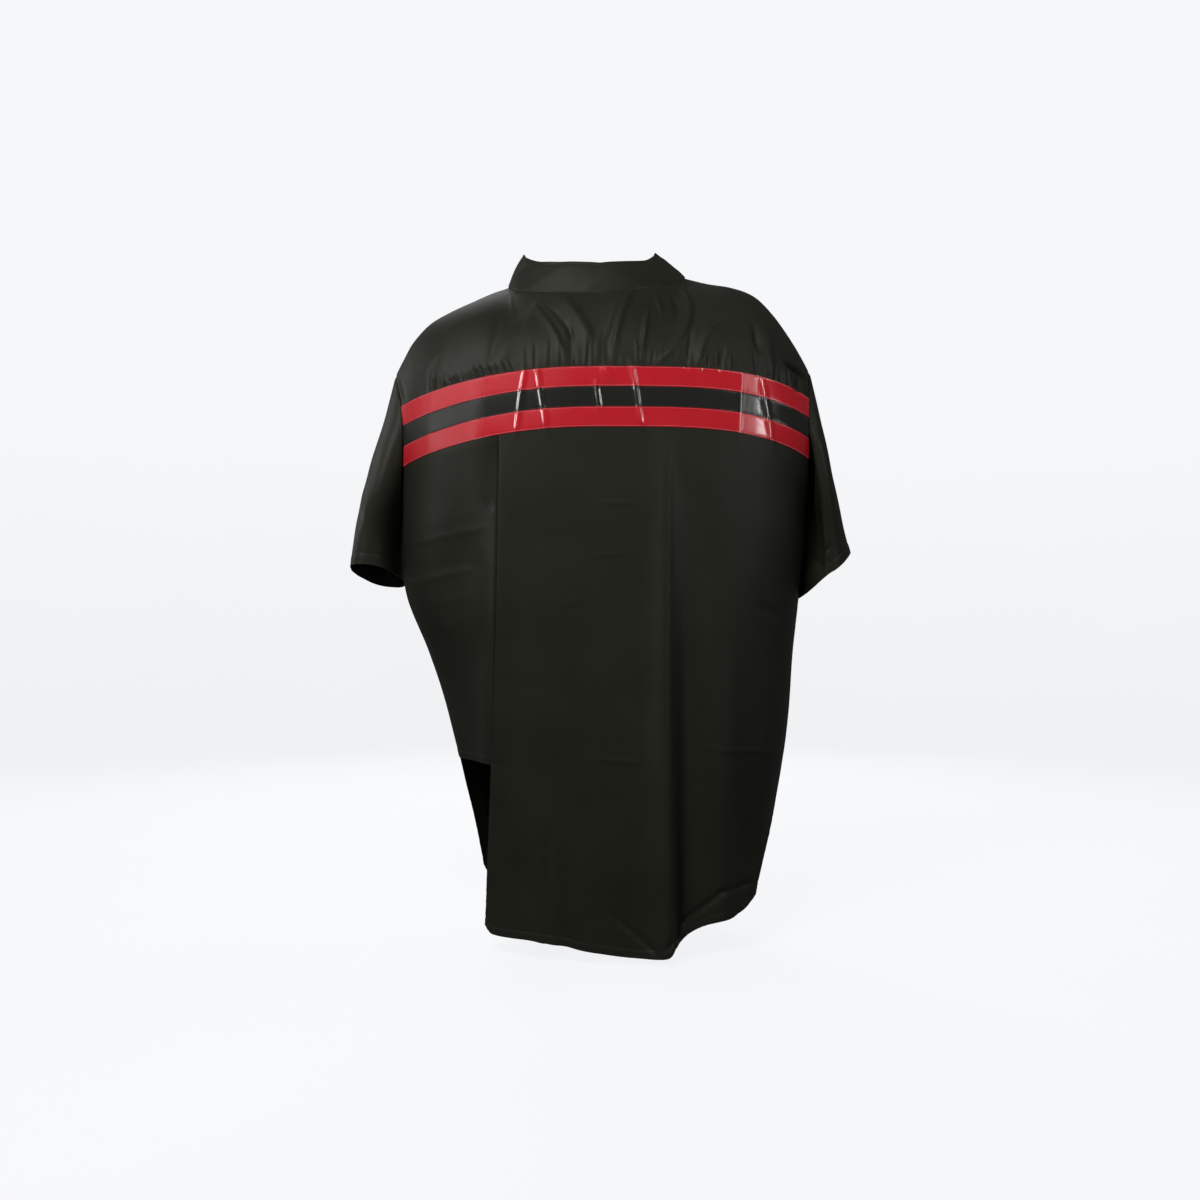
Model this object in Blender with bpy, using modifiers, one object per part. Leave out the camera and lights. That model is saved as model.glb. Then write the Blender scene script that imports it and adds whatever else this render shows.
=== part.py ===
"""Ribbon shirt: a short-sleeved satin shirt with a stand collar, filled out as when it is worn.

Three ribbons, red, black and red, cross the back below the gathered yoke. +X is the wearer's right,
+Y the way the wearer faces and +Z is up. The origin is the middle of the neck at shoulder height.
All sizes are in metres, and angles in tables are in degrees.
"""

import math

import bmesh
import bpy
from mathutils import Vector

# Cloth, seams and ribbons
WALL = 0.002
SEAM_GAP = 0.0003
RIBBON_WIDTH = 0.022
RIBBON_WALL = 0.001
RIBBON_END = 0.0015  # a ribbon stops this far short of the armhole seam
SIDE_SEAM_INSET = 0.0004  # each side of a side seam stands back by this much

# Fronts and buttons
FRONT_LAP = 0.016  # each front passes the centre line by this much
LAP_STEP = WALL + 2 * SEAM_GAP  # the front that lies under is this much further in
LAP_COLUMNS = (0.22, 0.10)  # the lower front steps in between these columns
BUTTON_RADIUS = 0.0056
BUTTON_TOP_RADIUS = 0.0053
BUTTON_WALL = 0.0028
BUTTON_RIM = 0.0017
BUTTON_DISH = 0.0007
BUTTON_SEGMENTS = 16
BUTTON_SEAT = 0.0006  # from the cloth to a button, which is flat where the cloth is curved
BUTTON_TOP = -0.112
BUTTON_PITCH = 0.085
BUTTON_COUNT = 7

BACK = -1
FRONT = 1
LEFT = -1
RIGHT = 1

# Armholes: where the shoulder tip, the sides of the hole and the underarm are
#           side: (tip X, middle X, underarm X, tip Z, underarm Z)
ARMHOLES = {
    LEFT: (-0.2370, -0.2185, -0.2275, -0.1090, -0.2700),
    RIGHT: (0.2415, 0.2320, 0.2370, -0.1040, -0.2680),
}
ARMHOLE_DEPTH = {BACK: 0.070, FRONT: 0.068}

# Side seams: height, left X, right X
SIDE_SEAMS = [
    (-0.268, -0.2275, 0.2370),
    (-0.330, -0.2272, 0.2322),
    (-0.370, -0.2215, 0.2290),
    (-0.428, -0.1985, 0.2230),
    (-0.498, -0.1755, 0.2180),
    (-0.568, -0.1590, 0.2090),
    (-0.638, -0.1435, 0.1930),
    (-0.708, -0.1310, 0.1730),
    (-0.760, -0.1240, 0.1560),
]
VENT_TOP = -0.550  # the side seams end here, and the tails hang free below

# Cross lines: height at the centre, drop at the left end, drop at the right end, depth at the
# centre, turn of the cloth at the plane of the side seams, squareness of the oval that a line
# follows (2 is an ellipse), how far the free edges of a tail stand back from the side
BACK_LINES = [
    (-0.118, 0.0360, 0.0270, 0.118, 89.0, 2.80, 0.000),
    (-0.184, 0.0375, 0.0290, 0.124, 89.0, 2.90, 0.000),
    (-0.222, 0.0325, 0.0300, 0.126, 89.0, 3.00, 0.000),
    (-0.245, 0.0270, 0.0270, 0.127, 89.0, 3.00, 0.000),
    (-0.290, 0.0140, 0.0150, 0.128, 89.0, 3.00, 0.000),
    (-0.380, 0.0000, 0.0000, 0.129, 89.0, 2.70, 0.000),
    (-0.460, 0.0000, 0.0000, 0.130, 89.0, 2.40, 0.000),
    (-0.550, 0.0000, 0.0000, 0.130, 89.0, 2.20, 0.000),
    (-0.640, 0.0000, 0.0000, 0.129, 76.0, 2.05, 0.026),
    (-0.760, 0.0000, 0.0000, 0.126, 62.0, 2.00, 0.070),
]
FRONT_LINES = [
    (-0.150, 0.0120, 0.0120, 0.114, 89.0, 2.80, 0.000),
    (-0.200, 0.0130, 0.0130, 0.119, 89.0, 2.90, 0.000),
    (-0.235, 0.0160, 0.0160, 0.121, 89.0, 3.00, 0.000),
    (-0.252, 0.0160, 0.0160, 0.121, 89.0, 3.00, 0.000),
    (-0.290, 0.0120, 0.0120, 0.121, 89.0, 3.00, 0.000),
    (-0.380, 0.0000, 0.0000, 0.118, 89.0, 2.70, 0.000),
    (-0.460, 0.0000, 0.0000, 0.114, 89.0, 2.40, 0.000),
    (-0.550, 0.0000, 0.0000, 0.110, 89.0, 2.20, 0.000),
    (-0.640, 0.0000, 0.0000, 0.107, 84.0, 2.05, 0.006),
    (-0.760, 0.0000, 0.0000, 0.104, 80.0, 2.00, 0.016),
]
LEFT_TAIL_TURN = 64.0  # the left side of the back turns at least this far
DROOP_POWER = {LEFT: 2.2, RIGHT: 4.0}

# Two creases that the columns of the back follow: height, X of the left crease, X of the ridge
CREASES = [
    (-0.118, -0.1080, 0.0680),
    (-0.370, -0.1090, 0.0700),
    (-0.550, -0.1160, 0.0700),
    (-0.760, -0.1275, 0.0685),
]
CREASE_COLUMN = {LEFT: -0.45, RIGHT: 0.30}

# Shoulder seams: share of the way from the neck to the tip, left X, left Z, right X, right Z
SHOULDERS = [
    (0.00, -0.1055, -0.0045, 0.0980, 0.0060),
    (0.15, -0.1270, -0.0130, 0.1245, -0.0010),
    (0.30, -0.1506, -0.0253, 0.1516, -0.0080),
    (0.45, -0.1754, -0.0370, 0.1785, -0.0180),
    (0.60, -0.1980, -0.0502, 0.1990, -0.0378),
    (0.75, -0.2161, -0.0700, 0.2160, -0.0620),
    (0.88, -0.2272, -0.0903, 0.2294, -0.0835),
    (1.00, -0.2370, -0.1090, 0.2415, -0.1040),
]
SHOULDER_Y = 0.004
SHOULDER_COLUMNS = (0.30, 0.62)  # the cloth falls more steeply from the top edge beyond these
ARMHOLE_COLUMN = 0.60  # beyond this column the rows bend towards the armhole edge
# How the cloth leaves the first cross line and the top edge: share of the way in X, Y and Z, and
# what the shoulders add to it
LINE_PULL = (Vector((0.20, 0.06, 0.40)), Vector((0.0, 0.0, 0.16)))
TOP_PULL = (Vector((0.40, 0.42, 0.26)), Vector((0.0, 0.12, -0.24)))
NECK_COLUMN = 0.40  # the neck ends of the shoulder seams lie on these columns, left and right
NECK_COLUMNS = 10  # grid columns of a front along its neckline
YOKE_NECK_COLUMNS = 16  # grid columns of the yoke along half its neckline

# Rings round the neck: X at the left and right side, Y at the centre back and centre front
NECKLINE = (-0.1055, 0.0980, -0.070, 0.078)
COLLAR_TOP = (-0.0885, 0.0640, -0.056, 0.062)
# Heights round the neck: angle from the centre back, neckline at the left and right, top edge of
# the stand at the left and right
NECK_HEIGHTS = [
    (0.0, -0.0290, -0.0290, 0.0090, 0.0090),
    (48.0, -0.0205, -0.0140, 0.0150, 0.0160),
    (72.0, -0.0115, -0.0020, 0.0250, 0.0265),
    (90.0, -0.0045, 0.0060, 0.0330, 0.0350),
    (112.0, -0.0165, -0.0100, 0.0190, 0.0220),
    (145.0, -0.0560, -0.0530, -0.0190, -0.0170),
    (180.0, -0.0780, -0.0780, -0.0410, -0.0410),
]
COLLAR_BOW = 0.0015
COLLAR_LAP = (150.0, 170.0)  # the right end of the stand steps in between these angles
COLLAR_END = 189.0  # angle of the ends of the stand, which pass the centre front as the fronts do

# Hems: column, height of the edge there
BACK_HEM = [
    (-0.45, -0.7320),
    (-0.41, -0.7405),
    (-0.22, -0.7400),
    (0.00, -0.7490),
    (0.18, -0.7545),
    (0.29, -0.7520),
    (0.34, -0.7430),
    (0.45, -0.7400),
    (0.60, -0.7240),
    (0.88, -0.7170),
    (1.00, -0.7020),
]
FRONT_HEM = [
    (-1.00, -0.6800),
    (-0.92, -0.6950),
    (-0.60, -0.7080),
    (0.00, -0.7180),
    (0.60, -0.7080),
    (0.92, -0.6950),
    (1.00, -0.6800),
]

# Folds that hang down the cloth: X at the top, X at the hem, crest height, crest width, trough
# depth, trough width, trough offset, height where the fold starts, height where it is full
BACK_FOLDS = [
    (-0.108, -0.1230, 0.0050, 0.016, 0.0110, 0.032, -0.044, -0.190, -0.330),
    (0.068, 0.0685, 0.0190, 0.017, 0.0120, 0.020, 0.030, -0.186, -0.720),
    (0.140, 0.1320, 0.0060, 0.018, 0.0050, 0.016, 0.030, -0.300, -0.720),
    (-0.056, -0.0560, 0.0040, 0.014, 0.0050, 0.012, 0.018, -0.600, -0.740),
]
FOLD_EDGE = 0.86  # share of the width at which the folds start to die away towards the edges
FRONT_FOLDS = [
    (-0.120, -0.0800, 0.0090, 0.020, 0.0060, 0.018, 0.032, -0.260, -0.700),
    (0.110, 0.1050, 0.0110, 0.020, 0.0070, 0.020, -0.034, -0.240, -0.700),
    (0.160, 0.1500, 0.0050, 0.014, 0.0040, 0.014, 0.024, -0.380, -0.700),
    (-0.165, -0.1150, 0.0050, 0.014, 0.0040, 0.014, -0.022, -0.380, -0.700),
]

# Gathers of the yoke above the top ribbon: from column, to column, height of the gathers
GATHER_COUNT = 20
GATHER_ZONES = [
    (-1.00, -0.80, 0.0010),
    (-0.80, -0.42, 0.0024),
    (-0.42, -0.15, 0.0012),
    (-0.15, 0.70, 0.0018),
    (0.70, 1.00, 0.0010),
]
GATHER_BLEND = 0.03  # columns over which one zone turns into the next
GATHER_WAVES = [(7.0, 0.0), (23.0, 1.0)]  # slow changes of height along the row: rate, start
GATHER_RISE = 0.05  # share of the yoke's height in which a gather reaches its full height
GATHER_REACH = 0.34  # share of the yoke's height at which it has died away

# Sleeves: hem centre, half width, half depth, how much the back and the outer edge are raised, how
# far in the outer side hangs above the hem
SLEEVES = {
    LEFT: ((-0.2610, 0.018, -0.3420), 0.0280, 0.078, 0.012, 0.004, 0.008),
    RIGHT: ((0.2610, 0.018, -0.3420), 0.0290, 0.078, 0.004, 0.027, 0.026),
}
# Pull of the cloth out of the armhole at the tip, at the back and front, and at the underarm
SLEEVE_PULL = ((0.012, 0.000, -0.060), (0.026, 0.014, -0.045), (0.004, 0.000, -0.030))
SLEEVE_HEM_RISE = 0.085
SLEEVE_UNDER = 0.65  # share by which that rise is less at the underarm
SLEEVE_SQUARE = 0.85
SLEEVE_CLEAR = 1.2  # power with which the start of a sleeve moves off the body
# The cloth of the body at the armhole: sideways at the tip, sideways at the back and front, round
# to the front at the back, upwards at the tip
ARMHOLE_ENDING = (0.46, 0.78, 0.63, 0.88)

# Grids: rows from 0 at the top to 1 at the first cross line, rows in metres below that line, rows
# as shares of the way from the top of the vents to the hem, and columns
YOKE_COLUMNS = 4 * GATHER_COUNT
YOKE_ROWS = [0.0, 0.12, 0.30, 0.48, 0.64, 0.78, 0.88, 0.95, 1.0]
BACK_ROWS = [0.085, 0.104, 0.118, 0.127, 0.150, 0.185, 0.220, 0.262, 0.305, 0.350, 0.395]
BACK_TAIL_ROWS = [0.2, 0.4, 0.6, 0.78, 0.9, 0.97, 1.0]
BACK_SIDE_COLUMNS = 9
BACK_TAIL_COLUMNS = 36
# Where the columns of the lower back lie closer together: column, reach, how many times closer
BACK_DENSE = [(CREASE_COLUMN[LEFT], 0.09, 2.0), (0.35, 0.12, 2.2)]
FRONT_ROWS = [0.0, 0.12, 0.30, 0.50, 0.75, 1.0]
FRONT_LOWER_ROWS = [0.030, 0.060, 0.085, 0.102, 0.130, 0.165, 0.210, 0.260, 0.310, 0.355]
FRONT_TAIL_ROWS = [0.25, 0.5, 0.75, 0.92, 1.0]
FRONT_COLUMNS = [0.48, 0.56, 0.64, 0.72, 0.80, 0.88, 0.95, 1.0]
RIBBON_COLUMNS = 60
SLEEVE_COLUMNS = 30
SLEEVE_ROWS = 9
COLLAR_ROWS = 3

# Finishes: colour, roughness
SATIN_BLACK = ("satin cloth", (0.021, 0.021, 0.018), 0.42)
RIBBON_RED = ("red ribbon", (0.40, 0.010, 0.025), 0.28)
RIBBON_BLACK = ("black ribbon", (0.012, 0.012, 0.011), 0.25)
BUTTON_BLACK = ("button", (0.020, 0.020, 0.020), 0.30)


def smooth(low, high, value):
    """0 below low, 1 above high, eased between them."""
    t = min(max((value - low) / (high - low), 0.0), 1.0)
    return t * t * (3.0 - 2.0 * t)


def read(table, key):
    """The values of a table's row at a key, eased between the rows."""
    rows = table if table[0][0] < table[-1][0] else table[::-1]
    key = min(max(key, rows[0][0]), rows[-1][0])
    i = 0
    while i < len(rows) - 2 and key > rows[i + 1][0]:
        i += 1
    before, low, high = rows[max(i - 1, 0)], rows[i], rows[i + 1]
    after = rows[min(i + 2, len(rows) - 1)]
    span = high[0] - low[0]
    t = (key - low[0]) / span
    values = []
    for column in range(1, len(low)):
        rise = high[column] - low[column]
        slope_low = (high[column] - before[column]) / (high[0] - before[0]) * span
        slope_high = (after[column] - low[column]) / (after[0] - low[0]) * span
        bend = slope_low * t * (1 - t) ** 2 - slope_high * t * t * (1 - t)
        values.append(low[column] + rise * t * t * (3 - 2 * t) + bend)
    return values


def bezier(a, b, c, d, t):
    """A point on the cubic curve from a to d, pulled towards b and c."""
    s = 1.0 - t
    return a * s**3 + b * 3 * s * s * t + c * 3 * s * t * t + d * t**3


def armhole(side, angle):
    """A point of the armhole edge: 0 at the shoulder tip, 90 at the back, 180 at the underarm."""
    tip_x, middle_x, underarm_x, tip_z, underarm_z = ARMHOLES[side]
    up = math.cos(math.radians(angle))
    back = math.sin(math.radians(angle))
    end_x = tip_x if up > 0 else underarm_x
    x = middle_x + (end_x - middle_x) * up * up
    depth = ARMHOLE_DEPTH[BACK] if back > 0 else ARMHOLE_DEPTH[FRONT]
    y = SHOULDER_Y * max(up, 0.0) ** 2 - depth * back
    z = (tip_z + underarm_z) / 2 + (tip_z - underarm_z) / 2 * up
    return Vector((x, y, z))


def armhole_angle(face, side, z):
    """The angle at which the back or front armhole edge passes a height."""
    tip_z, underarm_z = ARMHOLES[side][3:]
    up = (z - (tip_z + underarm_z) / 2) / ((tip_z - underarm_z) / 2)
    angle = math.degrees(math.acos(min(max(up, -1.0), 1.0)))
    return angle if face == BACK else 360.0 - angle


def side_edge(face, side, z, stand_back):
    """The edge of the back or front at a height: on the armhole, the side seam or a tail."""
    if z > ARMHOLES[side][4]:
        return armhole(side, armhole_angle(face, side, z))
    seam_z = max(z, VENT_TOP) if face == BACK and side == LEFT else z
    x = read(SIDE_SEAMS, seam_z)[0 if side == LEFT else 1]
    return Vector((x, face * (SIDE_SEAM_INSET + max(stand_back, 0.0)), z))


def folds_at(face, x, z):
    """How far the hanging folds push the cloth outwards."""
    push = 0.0
    for top_x, hem_x, crest, crest_w, trough, trough_w, offset, start, full in (
        BACK_FOLDS if face == BACK else FRONT_FOLDS
    ):
        strength = min(max((start - z) / (start - full), 0.0), 1.0)
        middle = top_x + (hem_x - top_x) * smooth(-0.12, -0.76, z)
        push += strength * crest * math.exp(-(((x - middle) / crest_w) ** 2))
        push -= strength * trough * math.exp(-(((x - middle - offset) / trough_w) ** 2))
    return push


def oval(share, square):
    """The other coordinate, from 0 to 1, of a point on a squared oval of radius 1."""
    return max(1.0 - share**square, 0.0) ** (1.0 / square)


def line_point(face, column, height):
    """A point of the body below the first cross line; columns run from -1, left, to 1, right."""
    lines = BACK_LINES if face == BACK else FRONT_LINES
    drop_left, drop_right, depth, turn, square, stand_back = read(lines, height)
    side = LEFT if column < 0 else RIGHT
    drop = drop_left if side == LEFT else drop_right
    if side == LEFT and face == BACK:
        turn, stand_back = max(turn, LEFT_TAIL_TURN), 0.0
    edge = side_edge(face, side, height - drop, stand_back)
    plane = SIDE_SEAM_INSET + max(stand_back, 0.0)
    last = oval(math.sin(math.radians(turn)), square)
    beyond = last / (1.0 - last) * (depth - plane)
    last = (abs(edge.y) - plane + beyond) / (depth - plane + beyond)
    turn = math.asin(oval(last, square))
    if face == BACK:
        crease_x = read(CREASES, height)[0 if side == LEFT else 1]
        crease_turn = math.asin(min(crease_x / edge.x, 0.98) * math.sin(turn))
        knot = abs(CREASE_COLUMN[side])
    else:
        crease_turn = turn / 2
        knot = 0.5
    share = abs(column)
    if share < knot:
        angle = crease_turn * share / knot
    else:
        angle = crease_turn + (turn - crease_turn) * (share - knot) / (1 - knot)
    across = math.sin(angle) / math.sin(turn)
    forward = (oval(math.sin(angle), square) - last) / (1.0 - last)
    push = folds_at(face, edge.x * across, height) * smooth(1.0, FOLD_EDGE, across)
    x = edge.x * across + side * push * math.sin(angle)
    y = edge.y + (face * depth - edge.y) * forward + face * push * math.cos(angle)
    return Vector((x, y, height - drop * across ** DROOP_POWER[side]))


def neck_point(ring, angle):
    """A point of a ring round the neck, at an angle from the centre back; negative is left."""
    left_x, right_x, back_y, front_y = ring
    if abs(angle) > 180.0:
        angle = math.copysign(360.0 - abs(angle), -angle)
    side = LEFT if angle < 0 else RIGHT
    toward_back = math.cos(math.radians(angle))
    depth = back_y if toward_back > 0 else front_y
    x = (left_x if side == LEFT else right_x) * math.sin(math.radians(abs(angle)))
    y = SHOULDER_Y + (depth - SHOULDER_Y) * abs(toward_back)
    heights = read(NECK_HEIGHTS, abs(angle))
    height = heights[(0 if side == LEFT else 1) + (0 if ring is NECKLINE else 2)]
    return Vector((x, y, height))


def top_point(face, column):
    """A point of the top edge of the back or front: the neckline, then the shoulder seam."""
    side = LEFT if column < 0 else RIGHT
    share = abs(column)
    if share < NECK_COLUMN:
        angle = 90.0 * share / NECK_COLUMN
        return neck_point(NECKLINE, side * (angle if face == BACK else 180.0 - angle))
    left_x, left_z, right_x, right_z = read(SHOULDERS, (share - NECK_COLUMN) / (1 - NECK_COLUMN))
    x, z = (left_x, left_z) if side == LEFT else (right_x, right_z)
    return Vector((x, SHOULDER_Y, z))


def gather_at(column, up):
    """How far a gather of the yoke stands out, up being the share of the way to the top edge."""
    height = 0.0
    for start, end, zone in GATHER_ZONES:
        begun = smooth(start - GATHER_BLEND, start + GATHER_BLEND, column)
        ended = smooth(end - GATHER_BLEND, end + GATHER_BLEND, column)
        height += zone * (begun - ended)
    uneven = 0.75 + 0.25 * sum(math.sin(rate * column + begin) for rate, begin in GATHER_WAVES)
    rise = smooth(0.0, GATHER_RISE, up) * smooth(GATHER_REACH * (0.6 + uneven / 2), GATHER_RISE, up)
    return height * uneven * rise * math.cos(math.pi * GATHER_COUNT * column)


def upper_point(face, column, down):
    """A point of the body above the first cross line: down is 0 at the top edge, 1 at the line."""
    lines = BACK_LINES if face == BACK else FRONT_LINES
    line = line_point(face, column, lines[0][0])
    shoulder = smooth(*SHOULDER_COLUMNS, abs(column))
    point = fall(top_point(face, column), line, shoulder, down)
    if abs(column) > ARMHOLE_COLUMN:
        side = LEFT if column < 0 else RIGHT
        edge_line = line_point(face, side, lines[0][0])
        edge = fall(top_point(face, side), edge_line, 1.0, down)
        last = armhole_angle(face, side, edge_line.z)
        first = 0.0 if face == BACK else 360.0
        wanted = armhole(side, first + (last - first) * down)
        point += (wanted - edge) * smooth(ARMHOLE_COLUMN, 1.0, abs(column))
    return point


def fall(top, line, shoulder, down):
    """A point of the curve from the top edge to the first cross line."""
    way = top - line
    leave_line = LINE_PULL[0] + LINE_PULL[1] * shoulder
    leave_top = TOP_PULL[0] + TOP_PULL[1] * shoulder
    return bezier(top, top - way * leave_top, line + way * leave_line, line, down)


def body_point(face, column, down):
    """Any point of the back or front: down is 0 at the top, 1 at the first cross line, and 1 plus
    the metres below that line from there on."""
    if down <= 1.0:
        return upper_point(face, column, down)
    lines = BACK_LINES if face == BACK else FRONT_LINES
    return line_point(face, column, lines[0][0] - (down - 1.0))


def back_point(column, down):
    """Any point of the back, without gathers."""
    return body_point(BACK, column, down)


def front_point(column, down):
    """Any point of the fronts, as if they were one."""
    return body_point(FRONT, column, down)


def outward(point_at, column, row, face):
    """The unit normal of a surface, pointing out of the shirt."""
    step = 0.002
    along = point_at(min(column + step, 1.0), row) - point_at(max(column - step, -1.0), row)
    down = point_at(column, row + step) - point_at(column, max(row - step, 0.0))
    normal = along.cross(down).normalized()
    return normal if normal.y * face > 0 else -normal


def yoke_point(column, down):
    """The yoke, with its gathers, from the top edge to the seam under the middle ribbon."""
    point = back_point(column, down)
    if down >= 1.0:
        return point
    return point + outward(back_point, column, down, BACK) * gather_at(column, 1.0 - down)


def material(finish):
    """The named material of a finish, made once."""
    name, colour, roughness = finish
    made = bpy.data.materials.get(name)
    if made:
        return made
    made = bpy.data.materials.new(name)
    made.use_nodes = True
    shader = made.node_tree.nodes["Principled BSDF"]
    shader.inputs["Base Color"].default_value = (*colour, 1.0)
    shader.inputs["Roughness"].default_value = roughness
    return made


def add_object(name, bm, finish, wall=None):
    """Links a mesh to the shirt's collection, with a cloth wall where one is given."""
    mesh = bpy.data.meshes.new(name)
    bm.to_mesh(mesh)
    bm.free()
    mesh.shade_smooth()
    made = bpy.data.objects.new(name, mesh)
    made.data.materials.append(material(finish))
    bpy.data.collections["ribbon shirt"].objects.link(made)
    if wall:
        solidify = made.modifiers.new("wall", "SOLIDIFY")
        solidify.thickness = wall
        solidify.offset = 0.0
    return made


def sheet(name, columns, rows, place, finish, wall=WALL, keep=None, closed=False):
    """A cloth piece: a grid whose vertices are placed by a function of column and row."""
    bm = bmesh.new()
    across, down = len(columns) - 1, len(rows) - 1
    bmesh.ops.create_grid(bm, x_segments=across, y_segments=down, size=1.0)
    cells = {}
    for vertex in bm.verts:
        i = round((vertex.co.x + 1.0) / 2.0 * across)
        j = round((1.0 - vertex.co.y) / 2.0 * down)
        cells[vertex] = (i, j)
    if keep:
        unwanted = [v for v in bm.verts if not keep(columns[cells[v][0]], rows[cells[v][1]])]
        bmesh.ops.delete(bm, geom=unwanted, context="VERTS")
    for vertex in bm.verts:
        i, j = cells[vertex]
        vertex.co = place(columns[i], rows[j])
    if closed:
        bmesh.ops.remove_doubles(bm, verts=bm.verts, dist=0.00001)
    return add_object(name, bm, finish, wall)


def spread(count, first, last):
    """Evenly spaced values from first to last, both included."""
    return [first + (last - first) * i / count for i in range(count + 1)]


def graded(count, first, last, dense):
    """Values from first to last that lie closer together near the dense places."""
    samples = spread(600, first, last)
    weight = [0.0]
    for value in samples[1:]:
        extra = sum(share * math.exp(-(((value - place) / reach) ** 2)) for place, reach, share in dense)
        weight.append(weight[-1] + 1.0 + extra)
    values = [first]
    for k in range(1, count):
        wanted = weight[-1] * k / count
        i = next(n for n, w in enumerate(weight) if w >= wanted)
        values.append(samples[i])
    values.append(last)
    return values


def build_back():
    """The gathered yoke and the lower back with its tail."""
    seam = 1.0 + 1.5 * RIBBON_WIDTH
    yoke_rows = YOKE_ROWS + [1.0 + RIBBON_WIDTH, seam - SEAM_GAP / 2]
    yoke_columns = spread(YOKE_COLUMNS, -1.0, 1.0)
    sheet("back_yoke", yoke_columns, yoke_rows, shoulder_inset(BACK, yoke_point), SATIN_BLACK)

    tail_column = CREASE_COLUMN[LEFT]
    columns = graded(BACK_SIDE_COLUMNS, -1.0, tail_column, BACK_DENSE[:1])[:-1]
    columns += graded(BACK_TAIL_COLUMNS, tail_column, 1.0, BACK_DENSE)
    rows = [seam + SEAM_GAP / 2, 1.0 + 2 * RIBBON_WIDTH, 1.0 + 3 * RIBBON_WIDTH]
    rows += [1.0 + depth for depth in BACK_ROWS] + [1.0 + BACK_LINES[0][0] - VENT_TOP]
    rows += [2.0 + share for share in BACK_TAIL_ROWS]

    def place(column, row):
        if row < 2.0:
            return back_point(column, row)
        hem = read(BACK_HEM, column)[0]
        return line_point(BACK, column, VENT_TOP + (hem - VENT_TOP) * (row - 2.0))

    def keep(column, row):
        return row < 2.0 or column > tail_column - 1e-6

    sheet("back_lower", columns, rows, place, SATIN_BLACK, keep=keep)


def shoulder_inset(face, place):
    """Stands the top edge of a panel back from the shoulder seams."""

    def placed(column, down):
        point = place(column, down)
        if down == 0.0 and abs(column) >= NECK_COLUMN - 1e-6:
            own = (place(column, 0.03) - point).normalized()
            other = (body_point(-face, column, 0.03) - point).normalized()
            point += own * mitred_step(own, other)
        return point

    return placed


def mitred_step(own, other):
    """How far each of two walls stands back from their seam so that they clear each other there."""
    bend = math.pi - own.angle(other)
    return SEAM_GAP / 2 + WALL / 2 * math.tan(min(bend, 2.0) / 2)


def one_sided_step(ending, leaving):
    """How far a wall starts off the edge of another one that it leaves at an angle."""
    bend = min(ending.angle(leaving), math.pi / 2)
    return SEAM_GAP + WALL / 2 * math.sin(bend)


def build_ribbons():
    """Three ribbons laid on the back, edge to edge."""
    lift = WALL / 2 + SEAM_GAP + RIBBON_WALL / 2
    end = RIBBON_END / abs(ARMHOLES[LEFT][1])
    columns = spread(RIBBON_COLUMNS, -1.0 + end, 1.0 - end)
    finishes = [("ribbon_top", RIBBON_RED), ("ribbon_middle", RIBBON_BLACK), ("ribbon_bottom", RIBBON_RED)]

    def place(column, down):
        return back_point(column, down) + outward(back_point, column, down, BACK) * lift

    for i, (name, finish) in enumerate(finishes):
        top = 1.0 + i * RIBBON_WIDTH + SEAM_GAP / 2
        bottom = 1.0 + (i + 1) * RIBBON_WIDTH - SEAM_GAP / 2
        rows = [top, (top + bottom) / 2, bottom] if name == "ribbon_middle" else [top, bottom]
        sheet(name, columns, rows, place, finish, wall=RIBBON_WALL)


def front_place(side):
    """The surface of one front: the right front is stepped in under the left one."""

    def placed(column, row):
        if row < 2.0:
            point = front_point(column, row)
            down = row
        else:
            hem = read(FRONT_HEM, column)[0]
            height = VENT_TOP + (hem - VENT_TOP) * (row - 2.0)
            point = line_point(FRONT, column, height)
            down = 1.0 + FRONT_LINES[0][0] - height
        if side == RIGHT:
            step = LAP_STEP * smooth(*LAP_COLUMNS, column)
            point -= outward(front_point, column, max(down, 0.004), FRONT) * step
        return point

    return placed


def build_fronts():
    """The two fronts, the left one lapped over the right one."""
    rows = FRONT_ROWS + [1.0 + depth for depth in FRONT_LOWER_ROWS]
    rows += [1.0 + FRONT_LINES[0][0] - VENT_TOP] + [2.0 + share for share in FRONT_TAIL_ROWS]
    lap = FRONT_LAP / (2 * abs(ARMHOLES[LEFT][1]))
    across = spread(NECK_COLUMNS, 0.0, NECK_COLUMN) + FRONT_COLUMNS
    left_columns = [-column for column in across[::-1]] + [lap]
    right_columns = [-lap] + across
    sheet("front_left", left_columns, rows, shoulder_inset(FRONT, front_place(LEFT)), SATIN_BLACK)
    sheet("front_right", right_columns, rows, shoulder_inset(FRONT, front_place(RIGHT)), SATIN_BLACK)


def build_sleeves():
    """Short set-in sleeves: tubes from the armhole edge to a tilted hem."""
    for side, name in ((LEFT, "sleeve_left"), (RIGHT, "sleeve_right")):
        sheet(
            name,
            spread(SLEEVE_COLUMNS, 0.0, 360.0),
            spread(SLEEVE_ROWS, 0.0, 1.0),
            lambda angle, down, side=side: sleeve_point(side, angle % 360.0, down),
            SATIN_BLACK,
            closed=True,
        )


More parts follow.
